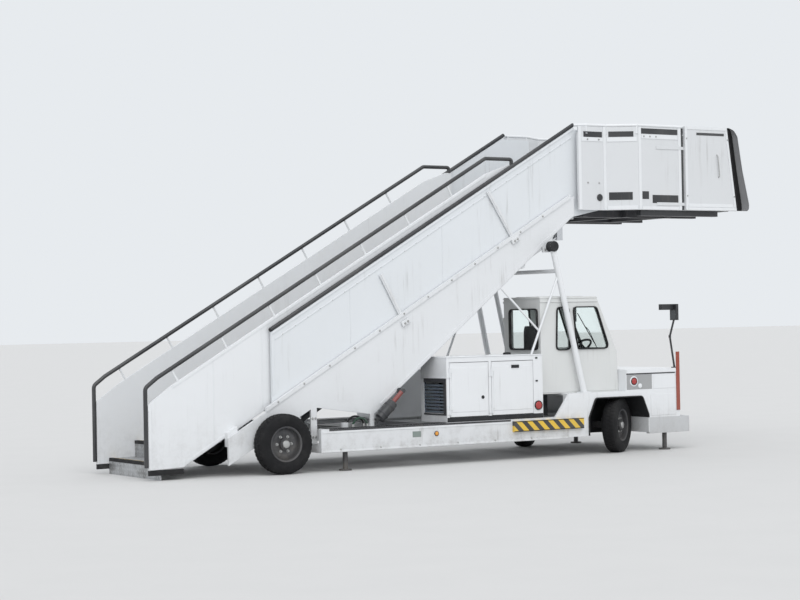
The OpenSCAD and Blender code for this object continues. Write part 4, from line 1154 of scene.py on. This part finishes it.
class STAIRS_OT_platform(bpy.types.Operator):
    """Platform wall posts, slots and a gap filled with painted shade, a painted-shade underside, guard
    frames, pleated buffers and the front buffer
    """

    bl_idname = "stairs.platform"
    bl_label = "Platform"

    def execute(self, context):
        depth = context.scene.stairs_sizes.rib_depth
        wall, fill, dark, bolts = [], [], [], []
        top = RAIL_TOP_Z - 0.11
        low = WALL_BOTTOM_Z + 0.004
        rail_low = RAIL_TOP_Z - 0.0185
        for s in (-1, 1):
            for x0, y, lift in ((6.004, WALL_Y, depth), (6.405, WALL_Y, depth), (6.81, PLATFORM_Y, 0.0055),
                                (7.475, PLATFORM_Y, 0.0055)):
                wall.append(strip(rect(x0, x0 + 0.045, low, rail_low), y, s, lift))
            wall.append(strip(rect(6.86, 7.47, top - 0.062, top - 0.004), PLATFORM_Y, s, 0.0055))
            wall.append(strip(rect(6.86, 7.47, low, low + 0.04), PLATFORM_Y, s, 0.0055))
            wall.append(strip(rect(6.052, 6.402, top - 0.10, top - 0.048), WALL_Y, s, depth))
            for z0, z1 in ((top - 0.10, top - 0.044), (low, low + 0.05)):
                wall.append(flare_plate(s, 6.46, 6.79, z0, z1, 0.006))
            for x0, x1, y in ((6.01, 6.45, WALL_Y), (6.80, 8.29, PLATFORM_Y)):
                fill.append(box_part((x0, s * (y - 0.027), top - 0.002),
                                     (x1, s * (y - 0.001), rail_low), 0.002))
            fill.append(flare_plate(s, 6.452, 6.798, top - 0.002, rail_low, 0.024, -0.026))
            # Painted shade: the dark strips under the top rails fill slots whose openings are in shade, and
            # the thin dark strip at the guard's rear edge stands for the shadow in the gap there
            for x0, x1, z0, z1, y in ((6.09, 6.39, 4.045, 4.116, WALL_Y),
                                      (6.86, 7.465, 4.092, 4.162, PLATFORM_Y),
                                      (6.862, 6.97, 3.25, 3.35, PLATFORM_Y),
                                      (7.03, 7.462, 3.20, 3.305, PLATFORM_Y),
                                      (7.526, 7.556, low, rail_low, PLATFORM_Y)):
                dark.append(strip(rect(x0, x1, z0, z1), y - 0.0015, s, 0.005, 0.0015))
            # Painted shade: the upper strip fills the flared wall's slot under the top rail
            for x0, x1, z0, z1 in ((6.48, 6.755, 4.052, 4.122), (6.475, 6.735, 3.24, 3.34)):
                dark.append(flare_plate(s, x0, x1, z0, z1, 0.005, -0.0015))
            dark.append(turned([(0.045, 0), (0.045, 0.008), (0.038, 0.014), (0.006, 0.016)],
                               spot(6.334, s * WALL_Y, 3.272), (0, s, 0), 28))
            # Painted shade: a dark box stands for the platform's shaded underside
            dark.append(box_part((6.86, s * 0.96, 3.036), (8.17, s * 1.052, 3.154), 0.004))
            for x in (6.15, 6.33):
                for z in (WALL_BOTTOM_Z + 0.35, top - 0.074):
                    bolts.append(hex_bolt(spot(x, s * (WALL_Y + (depth if z > 4 else 0)), z),
                                          (0, s, 0), 0.018))
            for x in (6.9, 7.0, 7.1):
                bolts.append(hex_bolt(spot(x, s * (PLATFORM_Y + 0.0055), top - 0.03), (0, s, 0), 0.016))
        make_piece("platform_wall_tops", join_parts(fill), "wall", "upper_flight", 35)
        make_piece("platform_wall_strips", join_parts(wall), "white", "upper_flight", 35)
        # These dark pieces include painted shade in the slots, in the guard's rear gap and under the
        # platform
        make_piece("platform_painted_shade_slots", join_parts(dark), "rail_black", "upper_flight", 35)
        make_piece("platform_bolts", join_parts(bolts), "zinc", "upper_flight", 35)

        ys = np.linspace(-1.028, 1.028, 121)
        ridge = 1 - 0.035 * (0.5 + 0.5 * np.cos(ys * 2 * math.pi / 0.10))
        x = BUFFER_BACK + (BUFFER[:, 0] - BUFFER_BACK) * ridge[:, None]
        buffer = make_piece("front_buffer", across(x, BUFFER[:, 1], ys), "rubber", "upper_flight",
                            40)
        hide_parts("platform_edge")

        for s, word in ((-1, "right"), (1, "left")):
            body = word + "_guard"
            seal = make_piece("guard_buffer_" + word, bellows(s, 0.0, 0.40, 3), "rubber", body,
                              20)
            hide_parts("guard_seal_" + word)
            make_piece("guard_folds_" + word, bellows(s, 0.402, 1.0, 4), "folds", body, 20)
            z0, z1 = WALL_BOTTOM_Z + 0.004, RAIL_TOP_Z + 0.006
            foot, head = z0 + 0.038, z1 - 0.038
            lean = [(guard_front(foot) - 0.04, foot), (guard_front(foot) - 0.004, foot),
                    (guard_front(head) - 0.004, head), (guard_front(head) - 0.04, head)]
            rim = [strip(outline, GUARD_Y, s, 0.006) for outline in (
                rect(7.563, 7.60, z0, z1), up_to_front(7.602, z1 - 0.036, z1, 0.003),
                up_to_front(7.602, z0, z0 + 0.036, 0.003), lean)]
            rim.append(strip(rect(7.604, 8.375, z0 + 0.040, 3.198), GUARD_Y, s, 0.004))
            make_piece("guard_rim_" + word, join_parts(rim), "white", body, 35)
            path = at([[8.13, s * 1.129, 3.55], [8.13, s * 1.150, 3.57], [8.105, s * 1.150, 3.83],
                       [8.105, s * 1.129, 3.85]])
            grip = [tube(path, 0.014, 0.015, 12)]
            for z in (3.30, 4.05):
                for x in (7.585, guard_front(z) - 0.022):
                    grip.append(hex_bolt(spot(x, s * 1.134, z), (0, s, 0), 0.016, 0.008))
            make_piece("guard_grip_" + word, join_parts(grip), "zinc", body, 40)
            # Painted shade: a dark strip stands for the shaded slot under the guard's top rim
            slot = strip(rect(7.76, 8.235, 4.098, 4.132), GUARD_Y - 0.0015, s, 0.005)
            make_piece("guard_painted_shade_slot_" + word, slot, "rail_black", body, 40)
        return {"FINISHED"}


# Cab


def window_rubber(outline, width, thick, radius=0.06):
    """A rubber frame: a flat rounded section carried round a window's outline with round corners."""
    path = rounded_path(outline, radius, 6, closed=True)
    return swept(path, round_rect(width, thick, min(width, thick) * 0.42, 3), closed=True)


def inset(points, amount):
    """An outline in the side view moved inwards by amount (negative: outwards)."""
    p = np.array(points, float)
    n = len(p)
    area = 0.5 * sum(p[i][0] * p[(i + 1) % n][1] - p[(i + 1) % n][0] * p[i][1] for i in range(n))
    sign = 1 if area > 0 else -1
    out = []
    for i in range(n):
        a, b = p[i] - p[i - 1], p[(i + 1) % n] - p[i]
        a, b = a / np.linalg.norm(a), b / np.linalg.norm(b)
        na, nb = np.array([-a[1], a[0]]) * sign, np.array([-b[1], b[0]]) * sign
        m = na + nb
        m = m / (m @ na)
        out.append(p[i] + m * amount)
    return out


DOOR_WINDOW = [(5.45, 1.35), (5.77, 1.35), (5.73, 1.86), (5.45, 1.86)]
SIDE_WINDOW = [(5.905, 1.345), (6.405, 1.345), (6.215, 1.868), (5.85, 1.868)]
SMALL_WINDOW = [(5.575, 1.34), (5.785, 1.34), (5.775, 1.868), (5.595, 1.868)]


class STAIRS_OT_cab(bpy.types.Operator):
    """Window rubbers, roof gutters and ribs, door handle, wiper, dials, switches, lever and pedals"""

    bl_idname = "stairs.cab"
    bl_label = "Cab"

    def execute(self, context):
        width = context.scene.stairs_sizes.frame_width
        inner, outer = CAB_Y1 + 0.002, CAB_Y0 - 0.002
        door = window_rubber(side_outline(inset(DOOR_WINDOW, -0.004), inner), 0.016, width)
        make_piece("window_rubber_door", door, "rubber", "driver_door", 50)
        rubbers = [window_rubber(side_outline(inset(outline, -0.004), y), 0.016, width)
                   for outline, y in ((SIDE_WINDOW, outer), (SMALL_WINDOW, outer), (SIDE_WINDOW, inner))]
        rear = inset(rect(-0.845, -0.255, 1.35, 1.85), -0.004)
        rubbers.append(window_rubber(at([[5.328, y, z] for y, z in rear]), width, 0.016))
        low, high = np.array([6.538, 1.33]), np.array([6.281, 1.90])
        length = np.linalg.norm(high - low)
        slant = (high - low) / length
        out = np.array([slant[1], -slant[0]])

        def on_screen(along, off, y):
            """A place along the windscreen's slope from its foot and off it outwards."""
            x, z = low + slant * along + out * off
            return [x, y, z]

        corners = ((0, -0.83), (0, -0.19), (length, -0.19), (length, -0.83))
        screen = at([on_screen(along, 0.004, y) for along, y in corners])
        rubbers.append(window_rubber(screen, width, 0.018, 0.07))
        make_piece("window_rubbers", join_parts(rubbers), "rubber", "vehicle", 50)

        trim = []
        for y in (CAB_Y0 - 0.004, CAB_Y1 + 0.004):
            trim.append(swept(at([[5.325, y, 1.945], [6.235, y, 1.945]]), round_rect(0.014, 0.02, 0.005, 3)))
        trim.append(slab(5.322, 6.236, CAB_Y0 - 0.006, CAB_Y1 + 0.006, 1.9853, 0.022, 0.014))
        for y in (-0.72, -0.51, -0.30):
            trim.append(slab(5.42, 6.14, y - 0.03, y + 0.03, 2.006, 0.008, 0.006))
        trim.append(strip(rect(5.35, 6.53, 0.80, 0.815), -CAB_Y0, -1, 0.005, 0.002))
        make_piece("cab_trim", join_parts(trim), "cab", "vehicle", 35)

        y = CAB_Y1
        path = at([[5.70, y, 1.17], [5.70, y + 0.035, 1.17], [5.79, y + 0.035, 1.17], [5.79, y, 1.17]])
        lock = [(0.012, 0), (0.012, 0.008), (0.009, 0.010), (0.003, 0.0105)]
        handle = [tube(path, 0.014, 0.02, 14), strip(rect(5.685, 5.81, 1.14, 1.20), y, 1, 0.006, 0.003),
                  turned(lock, spot(5.75, y, 1.09), (0, 1, 0), 20)]
        make_piece("cab_door_handle", join_parts(handle), "plastic", "driver_door", 40)
        panel = strip([(5.40, 0.86), (5.79, 0.86), (5.77, 1.28), (5.40, 1.28)], y, 1, 0.004, 0.003)
        make_piece("cab_door_panel", panel, "cab", "driver_door", 35)

        pivot = [(0.022, 0), (0.022, 0.02), (0.016, 0.028), (0.004, 0.03)]
        arm = at([[6.562, -0.51, 1.278], on_screen(0.25, 0.03, -0.43), on_screen(0.30, 0.024, -0.40)])
        blade = at([on_screen(0.07, 0.020, -0.46), on_screen(0.50, 0.020, -0.34)])
        wiper = [turned(pivot, spot(6.541, -0.51, 1.27), (1, 0, 0.2), 20), tube(arm, 0.010, 0.03, 10),
                 tube(blade, 0.012, 0.01, 10)]
        make_piece("windscreen_wiper", join_parts(wiper), "plastic", "vehicle", 40)

        inside = []
        dial = [(0.028, 0), (0.028, 0.004), (0.024, 0.008), (0.022, 0.006), (0.004, 0.006)]
        for y in (-0.70, -0.62, -0.54, -0.37):
            inside.append(turned(dial, spot(6.2995, y, 1.10), (-1, 0, 0), 28))
        for k in range(6):
            inside.append(box_part((6.292, -0.33 + 0.022 * k, 1.00),
                                   (6.2995, -0.316 + 0.022 * k, 1.022), 0.003))
        lever = at([[6.12, -0.26, 0.83], [6.13, -0.26, 1.05], [6.10, -0.27, 1.12]])
        inside.append(tube(lever, 0.014, 0.05, 12))
        knob = [(0.006, -0.02), (0.020, -0.012), (0.024, 0.004), (0.016, 0.020), (0.004, 0.024)]
        inside.append(turned(knob, spot(6.10, -0.27, 1.135), (0, 0, 1), 24))
        for y in (-0.60, -0.46):
            inside.append(box_part((6.245, y - 0.04, 0.865), (6.262, y + 0.04, 0.97), 0.006))
        make_piece("cab_controls", join_parts(inside), "plastic", "vehicle", 40)
        return {"FINISHED"}


def cushion(low, high, axis, crown=0.35, channels=(-0.42, 0.0, 0.42), rows=64, cols=64):
    """A crowned pad between two corners written from the foot, with sewn channels along one way.

    With u, v in -1..1, edge e = (1 - u^6)^0.42 (1 - v^6)^0.42 and h half the thickness, the upper face is at
    h e (1 - c + c (1 - 0.5 u^2 - 0.5 v^2)) - 0.010 e sum exp(-((v - v_k) / 0.055)^2), where c is the crown
    and v_k the channels, and the lower face at -h e.
    """
    lo, hi = at([low, high])
    mid, half = (lo + hi) / 2, (hi - lo) / 2
    others = [i for i in range(3) if i != axis]
    u = np.sin(np.linspace(-math.pi / 2, math.pi / 2, rows))[:, None] * np.ones((1, cols))
    v = np.sin(np.linspace(-math.pi / 2, math.pi / 2, cols))[None, :] * np.ones((rows, 1))
    edge = np.clip(1 - np.abs(u) ** 6, 0, 1) ** 0.42 * np.clip(1 - np.abs(v) ** 6, 0, 1) ** 0.42
    sew = sum(np.exp(-((v - c) / 0.055) ** 2) for c in channels)
    top = half[axis] * edge * (1 - crown + crown * (1 - 0.5 * u ** 2 - 0.5 * v ** 2)) - 0.010 * sew * edge
    draw = 1 - 0.03 * (1 - edge)
    shells = []
    for s in (1, -1):
        p = np.zeros((rows, cols, 3))
        p[..., others[0]] = mid[others[0]] + u * half[others[0]] * draw
        p[..., others[1]] = mid[others[1]] + v * half[others[1]] * draw
        p[..., axis] = mid[axis] + s * (top if s > 0 else half[axis] * edge)
        shells.append(p.reshape(-1, 3))
    n = rows * cols
    faces = grid_faces(rows, cols)
    both = faces + [tuple(i + n for i in f[::-1]) for f in faces]
    verts = np.concatenate(shells)
    return verts, outward(verts, both)


def weld(obj, distance=0.0005):
    """Merge the points of an object's mesh that share a place, so that it closes."""
    bm = bmesh.new()
    bm.from_mesh(obj.data)
    bmesh.ops.remove_doubles(bm, verts=bm.verts, dist=distance)
    bmesh.ops.dissolve_degenerate(bm, edges=bm.edges, dist=distance * 0.1)
    bmesh.ops.recalc_face_normals(bm, faces=bm.faces)
    bm.to_mesh(obj.data)
    bm.free()


class STAIRS_OT_seat(bpy.types.Operator):
    """The driver's seat: padded cushion and back with sewn channels, base and the steering wheel's rim"""

    bl_idname = "stairs.seat"
    bl_label = "Driver's seat and steering wheel"

    def execute(self, context):
        seat = make_piece("seat_cushion", cushion((5.48, -0.78, 0.972), (5.955, -0.292, 1.089), 2), "seat",
                          "vehicle", 60)
        back = make_piece("seat_back", cushion((5.472, -0.768, 1.093), (5.589, -0.302, 1.648), 0), "seat",
                          "vehicle", 60)
        for pad in (seat, back):
            weld(pad)
        parts = [box_part((5.56, -0.68, 0.8215), (5.88, -0.39, 0.970), 0.02)]
        for z in (0.86, 0.90, 0.94):
            fold = at([[5.555, -0.69, z], [5.885, -0.69, z], [5.885, -0.38, z], [5.555, -0.38, z],
                       [5.555, -0.66, z]])
            parts.append(tube(fold, 0.02, 0.03, 10))
        make_piece("seat_base", join_parts(parts), "plastic", "vehicle", 40)
        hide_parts("cab_seat")
        tilt = math.radians(35)
        axis = np.array([-math.sin(tilt), 0, math.cos(tilt)])
        centre = spot(6.205, -0.535, 1.345)
        u = np.array([math.cos(tilt), 0, math.sin(tilt)])
        v = np.array([0, 1.0, 0])
        t = np.linspace(0, 2 * math.pi, 97)[:-1, None]
        ring = centre + 0.18 * (np.cos(t) * u + np.sin(t) * v)
        parts = [swept(ring, circle_profile(0.028, 16), closed=True)]
        for a in (30, 150, 270):
            d = math.cos(math.radians(a)) * u + math.sin(math.radians(a)) * v
            spoke = centre + np.stack([0.035 * d - 0.006 * axis, 0.10 * d - 0.004 * axis, 0.174 * d])
            parts.append(swept(spoke, round_rect(0.026, 0.010, 0.004, 3)))
        parts.append(turned([(0.046, -0.015), (0.046, 0.006), (0.038, 0.014), (0.010, 0.017),
                             (0.002, 0.017)], centre, axis, 32))
        wheel = make_piece("steering_wheel_rim", join_parts(parts), "plastic", "vehicle",
                           45)
        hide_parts("steering_wheel")
        return {"FINISHED"}


# Bodywork


def lamp(centre, axis, radius, depth):
    """A round lamp: bezel ring and domed lens, as two parts."""
    bezel = [(1, 0), (1, 0.7), (0.95, 0.85), (0.86, 0.8), (0.84, 0.55)]
    dome = [(0.85, 0.5), (0.78, 0.78), (0.55, 0.95), (0.25, 1.02), (0.02, 1.03)]
    bezel, dome = (np.array(profile) * (radius, depth) for profile in (bezel, dome))
    return turned(bezel, centre, axis, 40), turned(dome, centre, axis, 40)


class STAIRS_OT_lamps(bpy.types.Operator):
    """Headlamps, side markers, tail lamps and the amber lamps on the chassis rail"""

    bl_idname = "stairs.lamps"
    bl_label = "Lamps"

    def execute(self, context):
        bezels, clear, red, amber = [], [], [], []
        lamps = [row for s in (-1, 1) for row in (
            ((NOSE_X, s * 0.80, 0.62), (1, 0, 0), 0.085, 0.030, clear),
            ((NOSE_X, s * 0.60, 0.62), (1, 0, 0), 0.040, 0.022, amber),
            ((6.69, s * BODY_Y, 0.906), (0, s, 0), 0.048, 0.020, red),
            ((3.64, s * BODY_Y, 0.38), (0, s, 0), 0.030, 0.014, amber))]
        lamps.append(((5.165, -BODY_Y, 0.66), (0, -1, 0), 0.058, 0.019, red))
        for place, way, radius, depth, lenses in lamps:
            bezel, dome = lamp(spot(*place), way, radius, depth)
            bezels.append(bezel)
            lenses.append(dome)
        for name, parts, mat, slot in (("lamp_bezels", bezels, "plastic", "black_plastic"),
                                       ("lamp_lenses_clear", clear, "clear", "lamp_red"),
                                       ("lamp_lenses_red", red, "red", "lamp_red"),
                                       ("lamp_lenses_amber", amber, "amber", "lamp_red")):
            piece = make_piece(name, join_parts(parts), mat, "vehicle", 50)
            if name == "lamp_lenses_red":
                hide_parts("lamps")
        return {"FINISHED"}


class STAIRS_OT_bodywork(bpy.types.Operator):
    """Sheet edges, wheel arches, locks, blank labels, nose slots, marker rods, covers, lids and mirrors"""

    bl_idname = "stairs.bodywork"
    bl_label = "Bodywork"

    def execute(self, context):
        body, dark, bolts, red, label, rubber, plastic, recess, mirrors, caps = ([] for _ in range(10))
        for s in (-1, 1):
            arch = [(5.955, 0.243), (5.955, 0.47), (6.065, 0.712), (6.825, 0.712),
                    (6.925, 0.47), (6.925, 0.435)]
            path = rounded_path(side_outline(arch, s * (BODY_Y + 0.001)), 0.05, 5)
            rubber.append(swept(path, round_rect(0.016, 0.030, 0.006, 3)))
            for parts, x0, x1, z0, z1, depth, bevel in (
                (body, 6.565, 7.39, 1.008, 1.056, 0.012, 0.002),
                # Painted shadow: the dark strip just under the nose's top flange stands for the shadow that
                # the flange casts
                (dark, 6.57, 7.38, 0.992, 1.007, 0.003, 0.002),
                # Painted shade: a grey plate on the flush side stands for the shaded recess under the nose's
                # flange
                (recess, 6.575, 6.99, 0.80, 0.990, 0.0025, 0.002),
                (body, 6.965, 7.385, 0.455, 0.73, 0.004, 0.003),
                (body, 7.01, 7.385, 0.80, 0.975, 0.0035, 0.003),
                (body, 2.06, 4.745, 0.450, 0.474, 0.006, 0.002),
                (dark, 2.15, 4.740, 0.476, 0.4975, 0.005, 0.002),
                (body, 2.06, 5.62, 0.228, 0.252, 0.006, 0.002),
                (label, 3.30, 3.42, 0.35, 0.42, 0.003, 0.002)
            ):
                parts.append(strip(rect(x0, x1, z0, z1), BODY_Y, s, depth, bevel))
            ring = [(0.066, 0), (0.066, 0.005), (0.060, 0.007), (0.050, 0.007)]
            body.append(turned(ring, spot(6.69, s * BODY_Y, 0.906), (0, s, 0), 36))
            lock = [(0.030, 0), (0.030, 0.008), (0.024, 0.011), (0.003, 0.012)]
            body.append(turned(lock, spot(6.79, s * BODY_Y, 0.845), (0, s, 0), 28))
            red.append(box_part((7.395, s * (BODY_Y + 0.0003), 0.51),
                                (7.455, s * (BODY_Y + 0.010), 1.27), 0.003))
            for x in np.arange(2.3, 5.6, 0.55):
                bolts.append(hex_bolt(spot(x, s * BODY_Y, 0.255), (0, s, 0), 0.018))
            rubber.append(box_part((2.15, s * (BODY_Y - 0.006), 0.4985),
                                   (3.78, s * (BODY_Y + 0.004), 0.5085), 0.002))
            for z in (0.346, 0.4655):
                plastic.append(strip(rect(4.767, 5.843, z, z + 0.009), BODY_Y + 0.040, s, 0.003))
            for (x0, z0), (x1, z1) in zip(arch[:-1], arch[1:]):
                quad = at([[x0, s * LINER_Y, z0], [x1, s * LINER_Y, z1], [x1, s * 1.04, z1],
                           [x0, s * 1.04, z0]])
                plastic.append(plate(quad, (z1 - z0, 0, x0 - x1), 0.004, 0.001))
            plastic.append(strip([*arch[:-1], (6.925, 0.243)], LINER_Y, s, 0.004))
            mirrors.append(box_part((7.3383, s * 1.028, 1.692), (7.3397, s * 1.137, 1.808), 0.0005))
            cap = [(0.0665, -0.049), (0.0665, 0.046), (0.060, 0.054), (0.006, 0.056)]
            caps.append(turned(cap, spot(5.52, s * 0.93, 2.64), (0, s, 0), 36))
        dark.append(box_part((5.243, -0.606, 0.5), (5.638, -0.600, 0.783), 0.002))
        dark.append(box_part((5.243, -0.988, 0.462), (5.638, -0.600, 0.468), 0.002))
        # The radiator opening's dark surround in the engine box's rear wall
        for y0, y1, z0, z1 in ((-1.040, -0.9805, 0.586, 1.030), (-0.9795, -0.550, 0.9815, 1.030),
                               (-0.9795, -0.550, 0.586, 0.6065)):
            dark.append(box_part((3.7935, y0, z0), (3.7995, y1, z1), 0.0015))
        for z0, z1 in ((0.47, 0.78), (0.81, 1.03)):
            body.append(box_part((7.4495, -0.96, z0), (7.456, 0.96, z1), 0.02))
        for k in range(9):
            z = 0.835 + 0.021 * k
            dark.append(box_part((7.455, -0.42, z), (7.466, 0.42, z + 0.009), 0.002))
        label.append(box_part((7.455, -0.26, 0.51), (7.460, 0.26, 0.62), 0.006))
        y = BODY_Y + 0.0035
        latch = [(0.022, 0), (0.022, 0.004), (0.018, 0.006), (0.003, 0.0065)]
        latch = turned(latch, spot(4.327, -y, 0.792), (0, -1, 0), 24)
        catch = strip(rect(4.76, 4.875, 1.134, 1.172), y, -1, 0.010, 0.004)
        for which, x0, x1, fitting in (("engine_cover", 3.87, 4.39, latch),
                                       ("service_cover", 4.49, 5.07, catch)):
            edge = rect(x0, x1, 0.62, 1.16)
            make_piece("cover_panel_" + which, strip(edge, BODY_Y, -1, 0.004, 0.003), "body", which,
                       35)
            make_piece("cover_latches_" + which, fitting, "plastic", which, 35)
        plastic.append(strip(rect(3.802, 5.238, 0.503, 0.560), BODY_Y, -1, 0.003))
        for z in (0.955, 1.240):
            plastic.append(strip(rect(5.130, 5.162, z, z + 0.018), BODY_Y, -1, 0.010, 0.004))
        body.append(box_part((3.789, -1.047, 1.034), (3.7995, -0.483, 1.048), 0.003))
        for y0, y1, z in ((-1.056, -0.474, 1.2852), (0.474, 1.056, 1.1002)):
            body.append(slab(3.794, 5.246, y0, y1, z, 0.010, 0.006))
        for x0, x1 in ((3.84, 4.48), (4.56, 5.20)):
            body.append(strip(rect(x0, x1, 0.55, 1.05), BODY_Y, 1, 0.004, 0.003))
            plastic.append(strip(rect(x0 + 0.28, x0 + 0.40, 0.99, 1.015), BODY_Y + 0.0035, 1, 0.008, 0.004))
        cap = [(0.05, 0), (0.05, 0.012), (0.044, 0.022), (0.02, 0.026), (0.002, 0.027)]
        for place in ((4.05, 0.90, 1.11), (4.95, -0.70, 1.295)):
            plastic.append(turned(cap, spot(*place), (0, 0, 1), 32))
        for name, parts, mat, slot in (
            # The dark trim also holds the painted shadow line under the nose's top flange
            ("body_sheets", body, "body", "white_paint"), ("body_dark_trim_and_painted_shadow", dark, "dark", "dark_steel"),
            ("body_bolts", bolts, "zinc", "bright_steel"), ("marker_rods", red, "red_brown", "lamp_red"),
            ("blank_labels", label, "label", "bumper_grey"),
            ("body_rubbers", rubber, "rubber", "rubber_black"),
            ("body_plastic", plastic, "plastic", "black_plastic"),
            # The nose's recess plate is painted shade
            ("nose_recess_painted_shade", recess, "recess", "bumper_grey"),
            ("mirror_glass", mirrors, "mirror", "bright_steel"),
            ("post_caps", caps, "plastic", "black_plastic")):
            make_piece(name, join_parts(parts), mat, "vehicle", 35)
        return {"FINISHED"}


class STAIRS_OT_hoses(bpy.types.Operator):
    """The two hydraulic hoses that stand on the rear deck in half circles, and their unions"""

    bl_idname = "stairs.hoses"
    bl_label = "Hoses"

    def execute(self, context):
        thick = 0.024
        nut = [(0.0125, 0.030), (0.018, 0.030), (0.018, 0.012), (0.021, 0.010), (0.021, 0.0006),
               (0.0125, 0.0006)]
        unions = []
        for k, word in enumerate(("outer", "inner")):
            radius = 0.12 - 0.02 * k
            middle = spot(2.6 + 0.04 * k, -0.884 - 0.05 * k, 0.506)
            t = np.linspace(0, math.pi, 61)
            path = middle + radius * np.stack([np.cos(t), 0 * t, np.sin(t)], 1)
            finish = "hose_green" if k else "rubber"
            hose = make_piece("hose_" + word, swept(path, circle_profile(thick)), finish, "vehicle",
                              50)
            if k == 0:
                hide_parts("hoses")
            for end in (path[0], path[-1]):
                unions.append(turned(nut, end, (0, 0, 1), 6))
        make_piece("hose_unions", join_parts(unions), "zinc", "vehicle", 30)
        return {"FINISHED"}


JACK_FOOT = [(0.0755, 0.001), (0.0755, 0.014), (0.066, 0.0195), (0.031, 0.020)]


class STAIRS_OT_hydraulics(bpy.types.Operator):
    """The small dark red cylinder behind the engine box, the long cylinders' glands and the jacks' feet"""

    bl_idname = "stairs.hydraulics"
    bl_label = "Cylinders and jack feet"

    def execute(self, context):
        gland = [(0.046, -0.060), (0.053, -0.056), (0.053, -0.008), (0.046, 0.004), (0.030, 0.006)]
        glands = []
        for s in (-1, 1):
            end = spot(2.0, s * 0.33, rail_z(-0.6482, 2.0)) + 2.4 * UP_SLOPE
            glands.append(turned(gland, end, UP_SLOPE, 32))
        make_piece("cylinder_glands", join_parts(glands), "zinc", "vehicle", 35)
        low, high = at([[2.925, -0.905, 0.585], [3.262, -0.905, 0.905]])
        way = (high - low) / np.linalg.norm(high - low)
        body = [(0.030, -0.012), (0.058, 0.0), (0.066, 0.010), (0.066, 0.255),
                (0.058, 0.268), (0.036, 0.276)]
        make_piece("small_cylinder", turned(body, low, way, 36), "rail_black", "vehicle", 35)
        rod = turned([(0.028, 0.262), (0.028, 0.440), (0.021, 0.448)], low, way, 24)
        make_piece("small_cylinder_rod", rod, "cylinder_red", "vehicle", 35)
        pins = [turned([(0.026, -0.024), (0.026, 0.024)], high, (0, 1, 0), 24),
                turned([(0.011, -0.03), (0.011, 0.084)], high, (0, 1, 0), 20),
                turned([(0.070, 0.060), (0.070, 0.080)], low, way, 36),
                turned([(0.070, 0.190), (0.070, 0.210)], low, way, 36)]
        pins.append(strip([(2.88, 0.507), (3.02, 0.507), (2.985, 0.575), (2.935, 0.575)], 0.888, -1, 0.034))
        pins.append(turned([(0.034, 0.072), (0.034, 0.0845)], high, (0, 1, 0), 24))
        make_piece("small_cylinder_pins", join_parts(pins), "dark", "vehicle", 35)
        for word, x in (("rear", 2.42), ("front", 7.27)):
            for side, hand in ((-1, "right"), (1, "left")):
                foot = turned(JACK_FOOT, spot(x, side * 0.946, 0.0), (0, 0, 1), 40)
                make_piece("jack_foot_%s_%s" % (word, hand), foot, "dark", "%s_%s_jack" % (word, hand),
                           35)
        return {"FINISHED"}


# Panel and registration

OPERATORS = [STAIRS_OT_stage, STAIRS_OT_finishes, STAIRS_OT_hoses, STAIRS_OT_wheels, STAIRS_OT_handrails,
             STAIRS_OT_panels, STAIRS_OT_steps, STAIRS_OT_platform, STAIRS_OT_cab, STAIRS_OT_seat,
             STAIRS_OT_lamps, STAIRS_OT_bodywork, STAIRS_OT_hydraulics]


class STAIRS_PT_panel(bpy.types.Panel):
    """Lists the pieces of the stairs"""

    bl_label = "Passenger stairs"
    bl_idname = "STAIRS_PT_panel"
    bl_space_type = "VIEW_3D"
    bl_region_type = "UI"
    bl_category = "Stairs"

    def draw(self, context):
        layout = self.layout
        for group in (context.scene.stairs_sizes, context.scene.stairs_colours):
            for name in group.__annotations__:
                layout.prop(group, name)
        for operator in OPERATORS:
            layout.operator(operator.bl_idname)


CLASSES = [StairsSizes, StairsColours, *OPERATORS, STAIRS_PT_panel]


def register():
    for cls in CLASSES:
        bpy.utils.register_class(cls)
    bpy.types.Scene.stairs_sizes = bpy.props.PointerProperty(type=StairsSizes)
    bpy.types.Scene.stairs_colours = bpy.props.PointerProperty(type=StairsColours)


def unregister():
    del bpy.types.Scene.stairs_colours
    del bpy.types.Scene.stairs_sizes
    for cls in reversed(CLASSES):
        bpy.utils.unregister_class(cls)


def main():
    register()
    for operator in OPERATORS:
        getattr(bpy.ops.stairs, operator.bl_idname.split(".")[1])()


if __name__ == "__main__":
    main()
